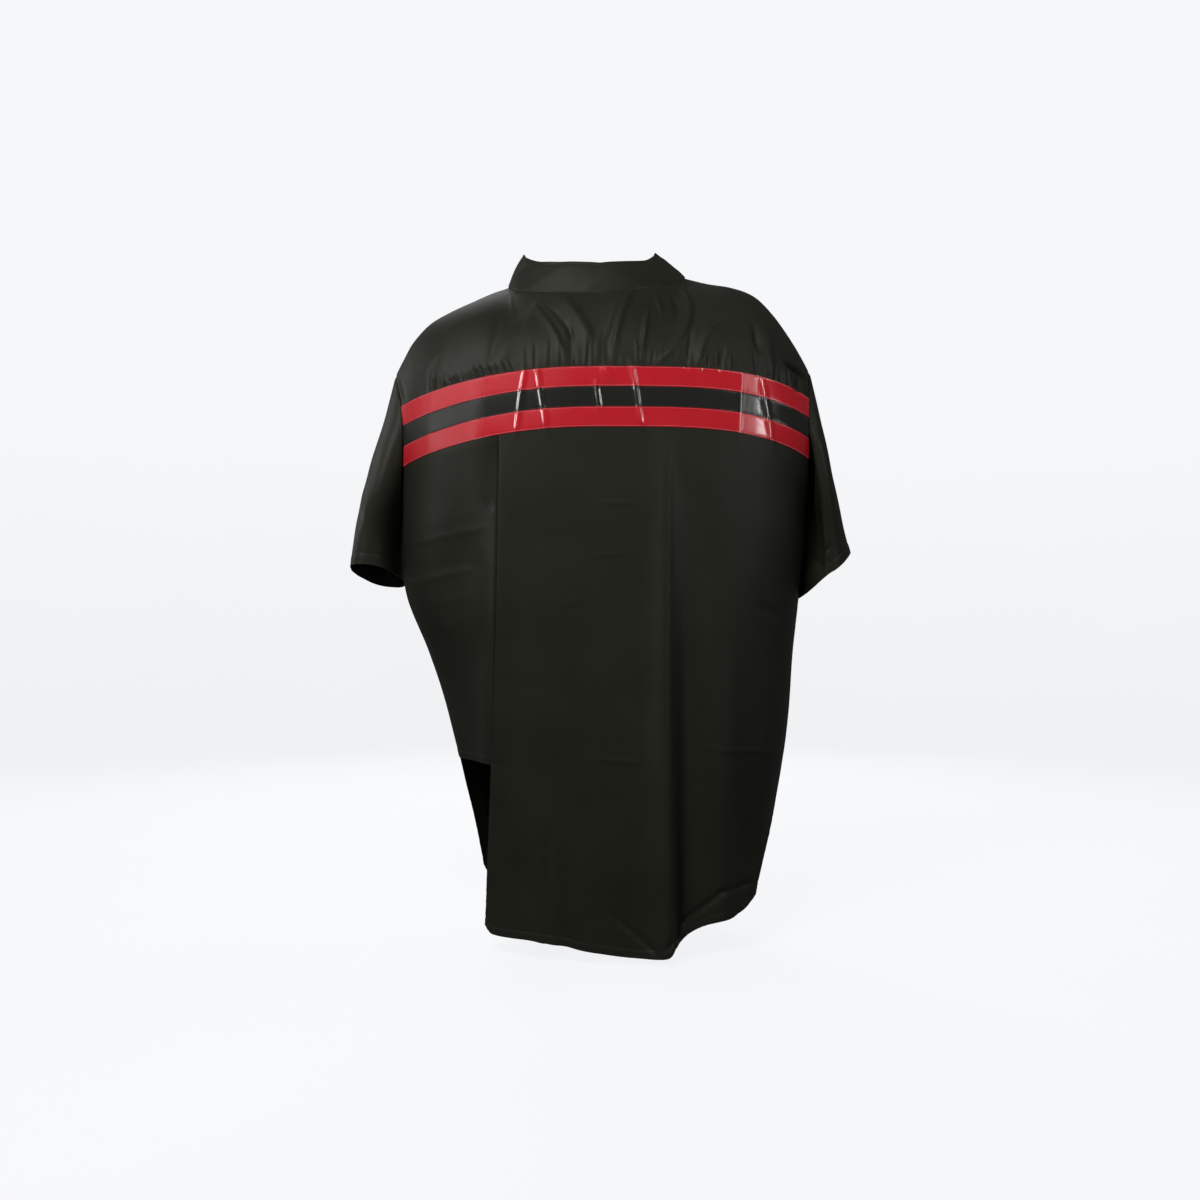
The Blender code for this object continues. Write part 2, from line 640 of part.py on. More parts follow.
def sleeve_point(side, angle, down):
    """A point of a sleeve: angle as round the armhole, down 0 at the armhole and 1 at the hem."""
    centre, half_width, half_depth, back_up, outer_up, hang_in = SLEEVES[side]
    out, back = math.cos(math.radians(angle)), math.sin(math.radians(angle))
    low = (1.0 - out) / 2.0
    squared_out = math.copysign(abs(out) ** SLEEVE_SQUARE, out)
    squared_back = math.copysign(abs(back) ** SLEEVE_SQUARE, back)
    hem = Vector(centre)
    hem += Vector((side * half_width * squared_out, -half_depth * squared_back, 0.0))
    hem.z += back_up * back + outer_up * out
    tip, flank, underarm = (Vector(pull) for pull in SLEEVE_PULL)
    end_pull = tip if out > 0 else underarm
    pull = flank + (end_pull - flank) * out * out
    pull = Vector((side * pull.x, -pull.y * back, pull.z))
    ending = armhole_ending(side, angle)
    start = armhole(side, angle) + pull.normalized() * (one_sided_step(ending, pull) + SEAM_GAP)
    bend = (1.0 - ending.dot(pull.normalized())) / 2.0
    start.x += side * (WALL + SEAM_GAP) * bend**SLEEVE_CLEAR
    height = SLEEVE_HEM_RISE * (1.0 - SLEEVE_UNDER * low)
    rise = Vector((-side * hang_in * max(out, 0.0), 0.0, height))
    return bezier(start, start + pull, hem + rise, hem, down)


def armhole_ending(side, angle):
    """The direction in which the cloth of the body ends at the armhole, as a unit vector."""
    out, back = math.cos(math.radians(angle)), math.sin(math.radians(angle))
    tip_side, flank_side, around, up = ARMHOLE_ENDING
    sideways = tip_side * max(out, 0.0) + flank_side * back * back
    return Vector((side * sideways, around * back, -up * out)).normalized()


def collar_point(angle, up):
    """A point of the stand: angle as round the neck, up 0 at the neckline and 1 at the top edge."""
    base = neck_point(NECKLINE, angle)
    top = neck_point(COLLAR_TOP, angle)
    away = Vector((base.x, base.y, 0.0)).normalized()
    leaving = top - base
    face = BACK if abs(angle) <= 90.0 else FRONT
    column = math.copysign(min(abs(angle), 180.0), angle) / 90.0 * NECK_COLUMN
    if face == FRONT:
        column = math.copysign(2 * NECK_COLUMN - abs(column), column)
    ending = (base - body_point(face, column, 0.05)).normalized()
    start = base + leaving.normalized() * one_sided_step(ending, leaving)
    point = start + (top - start) * up + away * COLLAR_BOW * math.sin(math.pi * up)
    return point - away * LAP_STEP * smooth(*COLLAR_LAP, angle)


def build_collar():
    """The stand collar: one band round the neckline, its left end lapped over its right end."""
    back = spread(2 * YOKE_NECK_COLUMNS, -90.0, 90.0)
    right = spread(NECK_COLUMNS + 1, 90.0, COLLAR_END)[1:]
    columns = [-angle for angle in right[::-1]] + back + right
    sheet("collar_stand", columns, spread(COLLAR_ROWS, 0.0, 1.0), collar_point, SATIN_BLACK)


def build_buttons():
    """Plain button discs down the left front and one on the collar stand."""
    first = FRONT_LINES[0][0]
    top = NECK_HEIGHTS[-1][1]
    for i in range(BUTTON_COUNT):
        height = BUTTON_TOP - BUTTON_PITCH * i
        if height > first:
            down = (top - height) / (top - first)
        else:
            down = 1.0 + first - height
        normal = outward(front_point, 0.0, down, FRONT)
        place_button(f"button_{i + 1}", front_point(0.0, down), normal)
    rise = collar_point(-180.0, 0.6) - collar_point(-180.0, 0.4)
    normal = rise.cross(Vector((1.0, 0.0, 0.0))).normalized()
    place_button("button_collar", collar_point(-180.0, 0.5), normal)


def place_button(name, seat, normal):
    """A dished disc standing on the cloth at a point, facing along the normal."""
    bm = bmesh.new()
    bmesh.ops.create_cone(
        bm,
        cap_ends=True,
        cap_tris=False,
        segments=BUTTON_SEGMENTS,
        radius1=BUTTON_RADIUS,
        radius2=BUTTON_TOP_RADIUS,
        depth=BUTTON_WALL,
    )
    top = max(bm.faces, key=lambda face: face.calc_center_median().z)
    bmesh.ops.inset_region(bm, faces=[top], thickness=BUTTON_RIM, depth=-BUTTON_DISH)
    made = add_object(name, bm, BUTTON_BLACK)
    made.location = seat + normal * (WALL / 2 + BUTTON_SEAT + BUTTON_WALL / 2)
    made.rotation_mode = "QUATERNION"
    made.rotation_quaternion = normal.to_track_quat("Z", "Y")


def main():
    """Clears the scene and builds every piece of the shirt."""
    for old in list(bpy.data.objects):
        bpy.data.objects.remove(old, do_unlink=True)
    if "ribbon shirt" not in bpy.data.collections:
        bpy.context.scene.collection.children.link(bpy.data.collections.new("ribbon shirt"))
    build_back()
    build_ribbons()
    build_fronts()
    build_sleeves()
    build_collar()
    build_buttons()


main()
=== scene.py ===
"""Looks of the ribbon shirt: thin satin shells on the shirt's form, with their folds and sewing.

Lengths are in metres unless a table says millimetres, and angles in tables are in degrees. Columns
run over the back or the fronts from -1, left, to 1, right.
"""

import math

import bmesh
import bpy
import numpy as np
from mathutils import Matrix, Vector


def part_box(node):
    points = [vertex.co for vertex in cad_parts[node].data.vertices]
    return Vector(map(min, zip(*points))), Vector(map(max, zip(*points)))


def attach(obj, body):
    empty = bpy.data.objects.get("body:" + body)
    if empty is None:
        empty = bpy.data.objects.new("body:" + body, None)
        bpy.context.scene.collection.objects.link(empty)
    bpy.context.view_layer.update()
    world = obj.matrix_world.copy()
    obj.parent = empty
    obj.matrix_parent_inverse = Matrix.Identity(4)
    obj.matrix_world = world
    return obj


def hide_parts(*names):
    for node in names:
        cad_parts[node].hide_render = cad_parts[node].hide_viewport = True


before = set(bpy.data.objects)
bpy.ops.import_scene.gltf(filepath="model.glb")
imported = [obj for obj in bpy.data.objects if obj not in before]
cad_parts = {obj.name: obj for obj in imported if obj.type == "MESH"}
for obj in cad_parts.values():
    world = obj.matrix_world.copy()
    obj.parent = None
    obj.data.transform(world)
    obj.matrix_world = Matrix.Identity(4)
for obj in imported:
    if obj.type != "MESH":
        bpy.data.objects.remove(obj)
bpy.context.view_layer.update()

MM = 0.001

# ---------------------------------------------------------------- camera
camera = bpy.data.objects.new("camera", bpy.data.cameras.new("camera"))
camera.data.lens = 40.0
camera.data.sensor_width = 36.0
camera.location = (0.0, -1.555, -0.370)
camera.rotation_euler = (math.radians(90.0), 0.0, 0.0)
bpy.context.scene.collection.objects.link(camera)
bpy.context.scene.camera = camera

# ---------------------------------------------------------------- the shirt's form
RIBBON_WIDTH = 0.022
RIBBON_END = 0.0015
SIDE_SEAM_INSET = 0.0004
FRONT_LAP = 0.016
LAP_STEP = 0.0026
LAP_COLUMNS = (0.22, 0.10)
BUTTON_TOP = -0.112
BUTTON_PITCH = 0.085
BUTTON_COUNT = 7
BACK, FRONT = -1, 1
LEFT, RIGHT = -1, 1

#     side: (tip X, middle X, underarm X, tip Z, underarm Z)
ARMHOLES = {
    LEFT: (-0.2370, -0.2185, -0.2275, -0.1090, -0.2700),
    RIGHT: (0.2415, 0.2320, 0.2370, -0.1040, -0.2680),
}
ARMHOLE_DEPTH = {BACK: 0.070, FRONT: 0.068}
# Side seams: height, left X, right X
SIDE_SEAMS = [
    (-0.268, -0.2275, 0.2370),
    (-0.330, -0.2272, 0.2322),
    (-0.370, -0.2215, 0.2290),
    (-0.428, -0.1985, 0.2230),
    (-0.498, -0.1755, 0.2180),
    (-0.568, -0.1590, 0.2090),
    (-0.638, -0.1435, 0.1930),
    (-0.708, -0.1310, 0.1730),
    (-0.760, -0.1240, 0.1560),
]
VENT_TOP = -0.550
# Cross lines: height, drop left, drop right, depth, turn, squareness, how far free edges stand back
BACK_LINES = [
    (-0.118, 0.0360, 0.0270, 0.118, 89.0, 2.80, 0.000),
    (-0.184, 0.0375, 0.0290, 0.124, 89.0, 2.90, 0.000),
    (-0.222, 0.0325, 0.0300, 0.126, 89.0, 3.00, 0.000),
    (-0.245, 0.0270, 0.0270, 0.127, 89.0, 3.00, 0.000),
    (-0.290, 0.0140, 0.0150, 0.128, 89.0, 3.00, 0.000),
    (-0.380, 0.0000, 0.0000, 0.129, 89.0, 2.70, 0.000),
    (-0.460, 0.0000, 0.0000, 0.130, 89.0, 2.40, 0.000),
    (-0.550, 0.0000, 0.0000, 0.130, 89.0, 2.20, 0.000),
    (-0.640, 0.0000, 0.0000, 0.129, 76.0, 2.05, 0.026),
    (-0.760, 0.0000, 0.0000, 0.126, 62.0, 2.00, 0.070),
]
FRONT_LINES = [
    (-0.150, 0.0120, 0.0120, 0.114, 89.0, 2.80, 0.000),
    (-0.200, 0.0130, 0.0130, 0.119, 89.0, 2.90, 0.000),
    (-0.235, 0.0160, 0.0160, 0.121, 89.0, 3.00, 0.000),
    (-0.252, 0.0160, 0.0160, 0.121, 89.0, 3.00, 0.000),
    (-0.290, 0.0120, 0.0120, 0.121, 89.0, 3.00, 0.000),
    (-0.380, 0.0000, 0.0000, 0.118, 89.0, 2.70, 0.000),
    (-0.460, 0.0000, 0.0000, 0.114, 89.0, 2.40, 0.000),
    (-0.550, 0.0000, 0.0000, 0.110, 89.0, 2.20, 0.000),
    (-0.640, 0.0000, 0.0000, 0.107, 84.0, 2.05, 0.006),
    (-0.760, 0.0000, 0.0000, 0.104, 80.0, 2.00, 0.016),
]
LEFT_TAIL_TURN = 64.0
DROOP_POWER = {LEFT: 2.2, RIGHT: 4.0}
# Creases that the columns of the back follow: height, left X, right X
CREASES = [
    (-0.118, -0.1080, 0.0680),
    (-0.370, -0.1090, 0.0700),
    (-0.550, -0.1160, 0.0700),
    (-0.760, -0.1275, 0.0685),
]
CREASE_COLUMN = {LEFT: -0.45, RIGHT: 0.30}
# Shoulder seams: share of the way to the tip, left X, left Z, right X, right Z
SHOULDERS = [
    (0.00, -0.1055, -0.0045, 0.0980, 0.0060),
    (0.15, -0.1270, -0.0130, 0.1245, -0.0010),
    (0.30, -0.1506, -0.0253, 0.1516, -0.0080),
    (0.45, -0.1754, -0.0370, 0.1785, -0.0180),
    (0.60, -0.1980, -0.0502, 0.1990, -0.0378),
    (0.75, -0.2161, -0.0700, 0.2160, -0.0620),
    (0.88, -0.2272, -0.0903, 0.2294, -0.0835),
    (1.00, -0.2370, -0.1090, 0.2415, -0.1040),
]
SHOULDER_Y = 0.004
SHOULDER_COLUMNS = (0.30, 0.62)
ARMHOLE_COLUMN = 0.60
LINE_PULL = ((0.20, 0.06, 0.40), (0.0, 0.0, 0.16))
TOP_PULL = ((0.40, 0.42, 0.26), (0.0, 0.12, -0.24))
NECK_COLUMN = 0.40
NECKLINE = (-0.1055, 0.0980, -0.070, 0.078)
COLLAR_TOP = (-0.0885, 0.0640, -0.056, 0.062)
# Heights round the neck: angle from the back, neckline left and right, top edge left and right
NECK_HEIGHTS = [
    (0.0, -0.0290, -0.0290, 0.0090, 0.0090),
    (48.0, -0.0205, -0.0140, 0.0150, 0.0160),
    (72.0, -0.0115, -0.0020, 0.0250, 0.0265),
    (90.0, -0.0045, 0.0060, 0.0330, 0.0350),
    (112.0, -0.0165, -0.0100, 0.0190, 0.0220),
    (145.0, -0.0560, -0.0530, -0.0190, -0.0170),
    (180.0, -0.0780, -0.0780, -0.0410, -0.0410),
]
COLLAR_BOW = 0.0015
COLLAR_LAP = (150.0, 170.0)
COLLAR_END = 189.0
COLLAR_START = (0.0004, 0.0010)  # the stand starts this far up and out from the neckline
COLLAR_TURNING = (0.006, 0.0030)  # its turning runs this far down and in
BELOW_NECK = 0.05  # share of the way down at which the cloth below the neckline is read
# Hems: column, height
BACK_HEM = [
    (-0.45, -0.7320),
    (-0.41, -0.7405),
    (-0.22, -0.7400),
    (0.00, -0.7490),
    (0.18, -0.7545),
    (0.29, -0.7520),
    (0.34, -0.7430),
    (0.45, -0.7400),
    (0.60, -0.7240),
    (0.88, -0.7170),
    (1.00, -0.7020),
]
FRONT_HEM = [
    (-1.00, -0.6800),
    (-0.92, -0.6950),
    (-0.60, -0.7080),
    (0.00, -0.7180),
    (0.60, -0.7080),
    (0.92, -0.6950),
    (1.00, -0.6800),
]
# Hanging folds: X at the top, X at the hem, crest, crest width, trough, trough width, trough
# offset, height where the fold starts, height where it is full
BACK_FOLDS = [
    (-0.108, -0.1230, 0.0050, 0.016, 0.0110, 0.032, -0.044, -0.190, -0.330),
    (0.068, 0.0685, 0.0190, 0.017, 0.0120, 0.020, 0.030, -0.186, -0.720),
    (0.140, 0.1320, 0.0060, 0.018, 0.0050, 0.016, 0.030, -0.300, -0.720),
    (-0.056, -0.0560, 0.0040, 0.014, 0.0050, 0.012, 0.018, -0.600, -0.740),
]
FOLD_EDGE = 0.86
FRONT_FOLDS = [
    (-0.120, -0.0800, 0.0090, 0.020, 0.0060, 0.018, 0.032, -0.260, -0.700),
    (0.110, 0.1050, 0.0110, 0.020, 0.0070, 0.020, -0.034, -0.240, -0.700),
    (0.160, 0.1500, 0.0050, 0.014, 0.0040, 0.014, 0.024, -0.380, -0.700),
    (-0.165, -0.1150, 0.0050, 0.014, 0.0040, 0.014, -0.022, -0.380, -0.700),
]
# Sleeves: hem centre, half width, half depth, back raised, outer edge raised, outer side hangs in
SLEEVES = {
    LEFT: ((-0.2610, 0.018, -0.3420), 0.0280, 0.078, 0.012, 0.004, 0.008),
    RIGHT: ((0.2610, 0.018, -0.3420), 0.0290, 0.078, 0.004, 0.027, 0.026),
}
SLEEVE_PULL = ((0.012, 0.000, -0.060), (0.026, 0.014, -0.045), (0.004, 0.000, -0.030))
SLEEVE_HEM_RISE = 0.085
SLEEVE_UNDER = 0.65
SLEEVE_SQUARE = 0.85
SLEEVE_START = 0.0012  # a sleeve starts this far off the armhole edge
SLEEVE_APART = 0.0006  # and its underarm this much further out


def points(x, y, z):
    """Joins coordinate arrays into an array of points."""
    return np.stack(np.broadcast_arrays(x, y, z), -1).astype(float)


def smooth(low, high, value):
    """0 below low, 1 above high, eased between them."""
    t = np.clip((np.asarray(value, float) - low) / (high - low), 0.0, 1.0)
    return t * t * (3.0 - 2.0 * t)


def read(table, keys):
    """A table's values at each key, eased between its rows."""
    rows = np.array(table if table[0][0] < table[-1][0] else table[::-1], float)
    keys = np.clip(np.asarray(keys, float), rows[0, 0], rows[-1, 0])
    i = np.clip(np.searchsorted(rows[:, 0], keys, side="left") - 1, 0, len(rows) - 2)
    before, low, high = rows[np.maximum(i - 1, 0)], rows[i], rows[i + 1]
    after = rows[np.minimum(i + 2, len(rows) - 1)]
    span = high[..., :1] - low[..., :1]
    t = (keys[..., None] - low[..., :1]) / span
    slope_low = (high - before) / (high[..., :1] - before[..., :1]) * span
    slope_high = (after - low) / (after[..., :1] - low[..., :1]) * span
    bend = slope_low * t * (1 - t) ** 2 - slope_high * t * t * (1 - t)
    return (low + (high - low) * t * t * (3 - 2 * t) + bend)[..., 1:]


def columns_of(array):
    """The last axis of an array, as separate arrays."""
    return np.moveaxis(array, -1, 0)


def bezier(a, b, c, d, t):
    """Points on the cubic curve from a to d, pulled towards b and c."""
    t = t[..., None]
    s = 1.0 - t
    return a * s**3 + b * 3 * s * s * t + c * 3 * s * t * t + d * t**3


def by_side(table, side):
    """A table's row for the side that each point is on."""
    left, right = np.array(table[LEFT], float), np.array(table[RIGHT], float)
    return columns_of(np.where(side[..., None] < 0, left, right))


def side_of(column):
    """The side of each column."""
    return np.where(np.asarray(column) < 0, LEFT, RIGHT)


def armhole(side, angle):
    """Points of the armhole edge: 0 at the shoulder tip, 90 at the back, 180 at the underarm."""
    tip_x, middle_x, underarm_x, tip_z, underarm_z = by_side(ARMHOLES, side)
    up, back = np.cos(np.radians(angle)), np.sin(np.radians(angle))
    end_x = np.where(up > 0, tip_x, underarm_x)
    depth = np.where(back > 0, ARMHOLE_DEPTH[BACK], ARMHOLE_DEPTH[FRONT])
    return points(
        middle_x + (end_x - middle_x) * up * up,
        SHOULDER_Y * np.maximum(up, 0.0) ** 2 - depth * back,
        (tip_z + underarm_z) / 2 + (tip_z - underarm_z) / 2 * up,
    )


def armhole_angle(face, side, z):
    """The angle at which the back or front armhole edge passes each height."""
    tip_z, underarm_z = by_side(ARMHOLES, side)[3:]
    up = (z - (tip_z + underarm_z) / 2) / ((tip_z - underarm_z) / 2)
    angle = np.degrees(np.arccos(np.clip(up, -1.0, 1.0)))
    return angle if face == BACK else 360.0 - angle


def side_edge(face, side, z, stand_back):
    """The edge of the back or front: on the armhole, the side seam or a tail."""
    seam_z = np.where((face == BACK) & (side == LEFT), np.maximum(z, VENT_TOP), z)
    left_x, right_x = columns_of(read(SIDE_SEAMS, seam_z))
    x = np.where(side == LEFT, left_x, right_x)
    seam = points(x, face * (SIDE_SEAM_INSET + np.maximum(stand_back, 0.0)), z)
    above = z > by_side(ARMHOLES, side)[4]
    return np.where(above[..., None], armhole(side, armhole_angle(face, side, z)), seam)


def folds_at(face, x, z):
    """How far the hanging folds push the cloth outwards."""
    push = 0.0
    for top_x, hem_x, crest, crest_w, trough, trough_w, offset, start, full in (
        BACK_FOLDS if face == BACK else FRONT_FOLDS
    ):
        strength = np.clip((start - z) / (start - full), 0.0, 1.0)
        middle = top_x + (hem_x - top_x) * smooth(-0.12, -0.76, z)
        push = push + strength * crest * np.exp(-(((x - middle) / crest_w) ** 2))
        push = push - strength * trough * np.exp(-(((x - middle - offset) / trough_w) ** 2))
    return push


def oval(share, square):
    """The other coordinate, from 0 to 1, of points on a squared oval of radius 1."""
    return np.maximum(1.0 - share**square, 0.0) ** (1.0 / square)


def line_point(face, column, height):
    """Points of the body below the first cross line."""
    column, height = np.broadcast_arrays(np.asarray(column, float), np.asarray(height, float))
    lines = BACK_LINES if face == BACK else FRONT_LINES
    drop_left, drop_right, depth, turn, square, stand_back = columns_of(read(lines, height))
    side = side_of(column)
    drop = np.where(side == LEFT, drop_left, drop_right)
    if face == BACK:
        turn = np.where(side == LEFT, np.maximum(turn, LEFT_TAIL_TURN), turn)
        stand_back = np.where(side == LEFT, 0.0, stand_back)
    edge = side_edge(face, side, height - drop, stand_back)
    plane = SIDE_SEAM_INSET + np.maximum(stand_back, 0.0)
    last = oval(np.sin(np.radians(turn)), square)
    beyond = last / (1.0 - last) * (depth - plane)
    last = (np.abs(edge[..., 1]) - plane + beyond) / (depth - plane + beyond)
    turn = np.arcsin(oval(last, square))
    if face == BACK:
        creases = read(CREASES, height)
        crease_x = np.where(side == LEFT, creases[..., 0], creases[..., 1])
        crease_turn = np.arcsin(np.minimum(crease_x / edge[..., 0], 0.98) * np.sin(turn))
        knot = np.where(side == LEFT, abs(CREASE_COLUMN[LEFT]), abs(CREASE_COLUMN[RIGHT]))
    else:
        crease_turn, knot = turn / 2, 0.5
    share = np.abs(column)
    beyond_knot = crease_turn + (turn - crease_turn) * (share - knot) / (1 - knot)
    angle = np.where(share < knot, crease_turn * share / knot, beyond_knot)
    across = np.sin(angle) / np.sin(turn)
    forward = (oval(np.sin(angle), square) - last) / (1.0 - last)
    push = folds_at(face, edge[..., 0] * across, height) * smooth(1.0, FOLD_EDGE, across)
    power = np.where(side == LEFT, DROOP_POWER[LEFT], DROOP_POWER[RIGHT])
    return points(
        edge[..., 0] * across + side * push * np.sin(angle),
        edge[..., 1] + (face * depth - edge[..., 1]) * forward + face * push * np.cos(angle),
        height - drop * np.abs(across) ** power,
    )


def neck_point(ring, angle):
    """Points of a ring round the neck, at an angle from the centre back; negative is left."""
    left_x, right_x, back_y, front_y = ring
    angle = np.asarray(angle, float)
    angle = np.where(np.abs(angle) > 180.0, np.copysign(360.0 - np.abs(angle), -angle), angle)
    left = angle < 0
    toward_back = np.cos(np.radians(angle))
    depth = np.where(toward_back > 0, back_y, front_y)
    x = np.where(left, left_x, right_x) * np.sin(np.radians(np.abs(angle)))
    y = SHOULDER_Y + (depth - SHOULDER_Y) * np.abs(toward_back)
    heights = read(NECK_HEIGHTS, np.abs(angle))
    first = 0 if ring is NECKLINE else 2
    return points(x, y, np.where(left, heights[..., first], heights[..., first + 1]))


def top_point(face, column):
    """Points of the top edge of the back or front: the neckline, then the shoulder seam."""
    side, share = side_of(column), np.abs(column)
    angle = 90.0 * np.minimum(share, NECK_COLUMN) / NECK_COLUMN
    neck = neck_point(NECKLINE, side * (angle if face == BACK else 180.0 - angle))
    way = (share - NECK_COLUMN) / (1 - NECK_COLUMN)
    left_x, left_z, right_x, right_z = columns_of(read(SHOULDERS, way))
    left = side == LEFT
    seam = points(np.where(left, left_x, right_x), SHOULDER_Y, np.where(left, left_z, right_z))
    return np.where((share < NECK_COLUMN)[..., None], neck, seam)


def fall(top, line, shoulder, down):
    """Points of the curve from the top edge to the first cross line."""
    way = top - line
    shoulder = np.asarray(shoulder, float)[..., None]
    leave_line = np.array(LINE_PULL[0]) + np.array(LINE_PULL[1]) * shoulder
    leave_top = np.array(TOP_PULL[0]) + np.array(TOP_PULL[1]) * shoulder
    return bezier(top, top - way * leave_top, line + way * leave_line, line, down)


def upper_point(face, column, down):
    """Points of the body above the first cross line: down is 0 at the top edge, 1 at the line."""
    lines = BACK_LINES if face == BACK else FRONT_LINES
    line = line_point(face, column, lines[0][0])
    point = fall(top_point(face, column), line, smooth(*SHOULDER_COLUMNS, np.abs(column)), down)
    side = side_of(column)
    edge_line = line_point(face, side * 1.0, lines[0][0])
    edge = fall(top_point(face, side * 1.0), edge_line, np.ones(np.shape(column)), down)
    last = armhole_angle(face, side, edge_line[..., 2])
    first = 0.0 if face == BACK else 360.0
    wanted = armhole(side, first + (last - first) * down)
    return point + (wanted - edge) * smooth(ARMHOLE_COLUMN, 1.0, np.abs(column))[..., None]


def body_point(face, column, down):
    """Points of the back or front: down is 0 at the top, 1 at the first cross line, 1 plus the
    metres below that line from there on, and from 2 on a share of the way to the hem."""
    column, down = np.broadcast_arrays(np.asarray(column, float), np.asarray(down, float))
    lines, hem_table = (BACK_LINES, BACK_HEM) if face == BACK else (FRONT_LINES, FRONT_HEM)
    upper = upper_point(face, column, np.minimum(down, 1.0))
    hem = read(hem_table, column)[..., 0]
    tail = VENT_TOP + (hem - VENT_TOP) * (down - 2.0)
    height = np.where(down < 2.0, lines[0][0] - np.maximum(down - 1.0, 0.0), tail)
    return np.where((down <= 1.0)[..., None], upper, line_point(face, column, height))


def sleeve_point(side, angle, down):
    """Points of a sleeve: angle as round the armhole, down 0 at the armhole and 1 at the hem."""
    centre, half_width, half_depth, back_up, outer_up, hang_in = SLEEVES[side]
    out, back = np.cos(np.radians(angle)), np.sin(np.radians(angle))
    low = (1.0 - out) / 2.0
    squared_out = np.copysign(np.abs(out) ** SLEEVE_SQUARE, out)
    squared_back = np.copysign(np.abs(back) ** SLEEVE_SQUARE, back)
    hem = points(
        centre[0] + side * half_width * squared_out,
        centre[1] - half_depth * squared_back,
        centre[2] + back_up * back + outer_up * out,
    )
    tip, flank, underarm = np.array(SLEEVE_PULL)
    end_pull = np.where((out > 0)[..., None], tip, underarm)
    pull = flank + (end_pull - flank) * (out * out)[..., None]
    pull = points(side * pull[..., 0], -pull[..., 1] * back, pull[..., 2])
    sides = np.full(np.shape(angle), side)
    start = armhole(sides, angle) + unit(pull) * SLEEVE_START
    start[..., 0] += side * SLEEVE_APART * (1.0 - out) / 2.0
    height = SLEEVE_HEM_RISE * (1.0 - SLEEVE_UNDER * low)
    rise = points(-side * hang_in * np.maximum(out, 0.0), 0.0, height)
    return bezier(start, start + pull, hem + rise, hem, down)


def collar_point(angle, up):
    """Points of the stand: angle as round the neck, up 0 at the neckline and 1 at the top edge, and
    from 0 to -1 its turning, which lies inside the neckline."""
    base, top = neck_point(NECKLINE, angle), neck_point(COLLAR_TOP, angle)
    away = unit(points(base[..., 0], base[..., 1], 0.0))
    high = np.clip(up, 0.0, 1.0)[..., None]
    start = base + unit(top - base) * COLLAR_START[0] + away * COLLAR_START[1]
    point = start + (top - start) * high + away * COLLAR_BOW * np.sin(np.pi * high)
    column = np.clip(angle, -180.0, 180.0) / 90.0 * NECK_COLUMN
    over_front = np.copysign(2 * NECK_COLUMN - np.abs(column), column)
    on_back, on_front = np.abs(angle) <= 90.0, np.abs(angle) > 90.0
    below = np.where(
        on_back[..., None],
        body_point(BACK, np.where(on_back, column, 0.0), BELOW_NECK),
        body_point(FRONT, np.where(on_front, over_front, 0.0), BELOW_NECK),
    )
    falling = unit(below - base)
    inside = -away * 0.6 - points(0.0, 0.0, 1.0) * 0.8
    low = np.clip(-up, 0.0, 1.0)[..., None]
    run_down, run_in = COLLAR_TURNING
    point += falling * run_down * low
    point += inside * run_in * np.sin(np.pi / 2 * np.minimum(low * 2.5, 1.0))
    return point - away * (LAP_STEP * smooth(*COLLAR_LAP, angle))[..., None]


def length(vectors):
    """The length of each vector."""
    return np.maximum(np.sqrt((vectors**2).sum(-1)), 1e-12)


def unit(vectors):
    """Each vector at a length of 1."""
    return vectors / length(vectors)[..., None]


# ---------------------------------------------------------------- creases and unevenness
CREASE_FADE = 0.012  # a crease fades in and out over this length
FADE_SHARES = (0.02, 0.35)  # and over this share of its length at least, and at most


def strokes(table, x, z):
    """How far a table of creases, in millimetres, pushes the cloth out at each place."""
    push = np.zeros(np.broadcast(x, z).shape)
    for x0, z0, x1, z1, bow, wide_a, wide_b, height in table:
        x0, z0, x1, z1, bow = (value * MM for value in (x0, z0, x1, z1, bow))
        run = math.hypot(x1 - x0, z1 - z0)
        ux, uz = (x1 - x0) / run, (z1 - z0) / run
        along = (x - x0) * ux + (z - z0) * uz
        t = along / run
        off = (z - z0) * ux - (x - x0) * uz
        off = (off if uz < 0 else -off) - bow * 4.0 * t * (1.0 - t)
        wide = np.where(off < 0, wide_a, wide_b) * MM
        soft = min(FADE_SHARES[1], CREASE_FADE / run + FADE_SHARES[0])
        ends = smooth(-soft, soft, t) * smooth(1.0 + soft, 1.0 - soft, t)
        push += height * MM * np.exp(-((off / wide) ** 2)) * ends
    return push


def rumple(u, v, size, seed, stretch=1.0):
    """Soft uneven waves between about -1 and 1, size metres long."""
    rng = np.random.default_rng(seed)
    total = np.zeros(np.broadcast(u, v).shape)
    for _ in range(8):
        heading, start = rng.uniform(0.0, 2 * np.pi, 2)
        pitch = size * rng.uniform(0.6, 1.5)
        wave = (u * math.cos(heading) + v / stretch * math.sin(heading)) * 2 * np.pi / pitch + start
        total += np.sin(wave)
    return total / 4.0


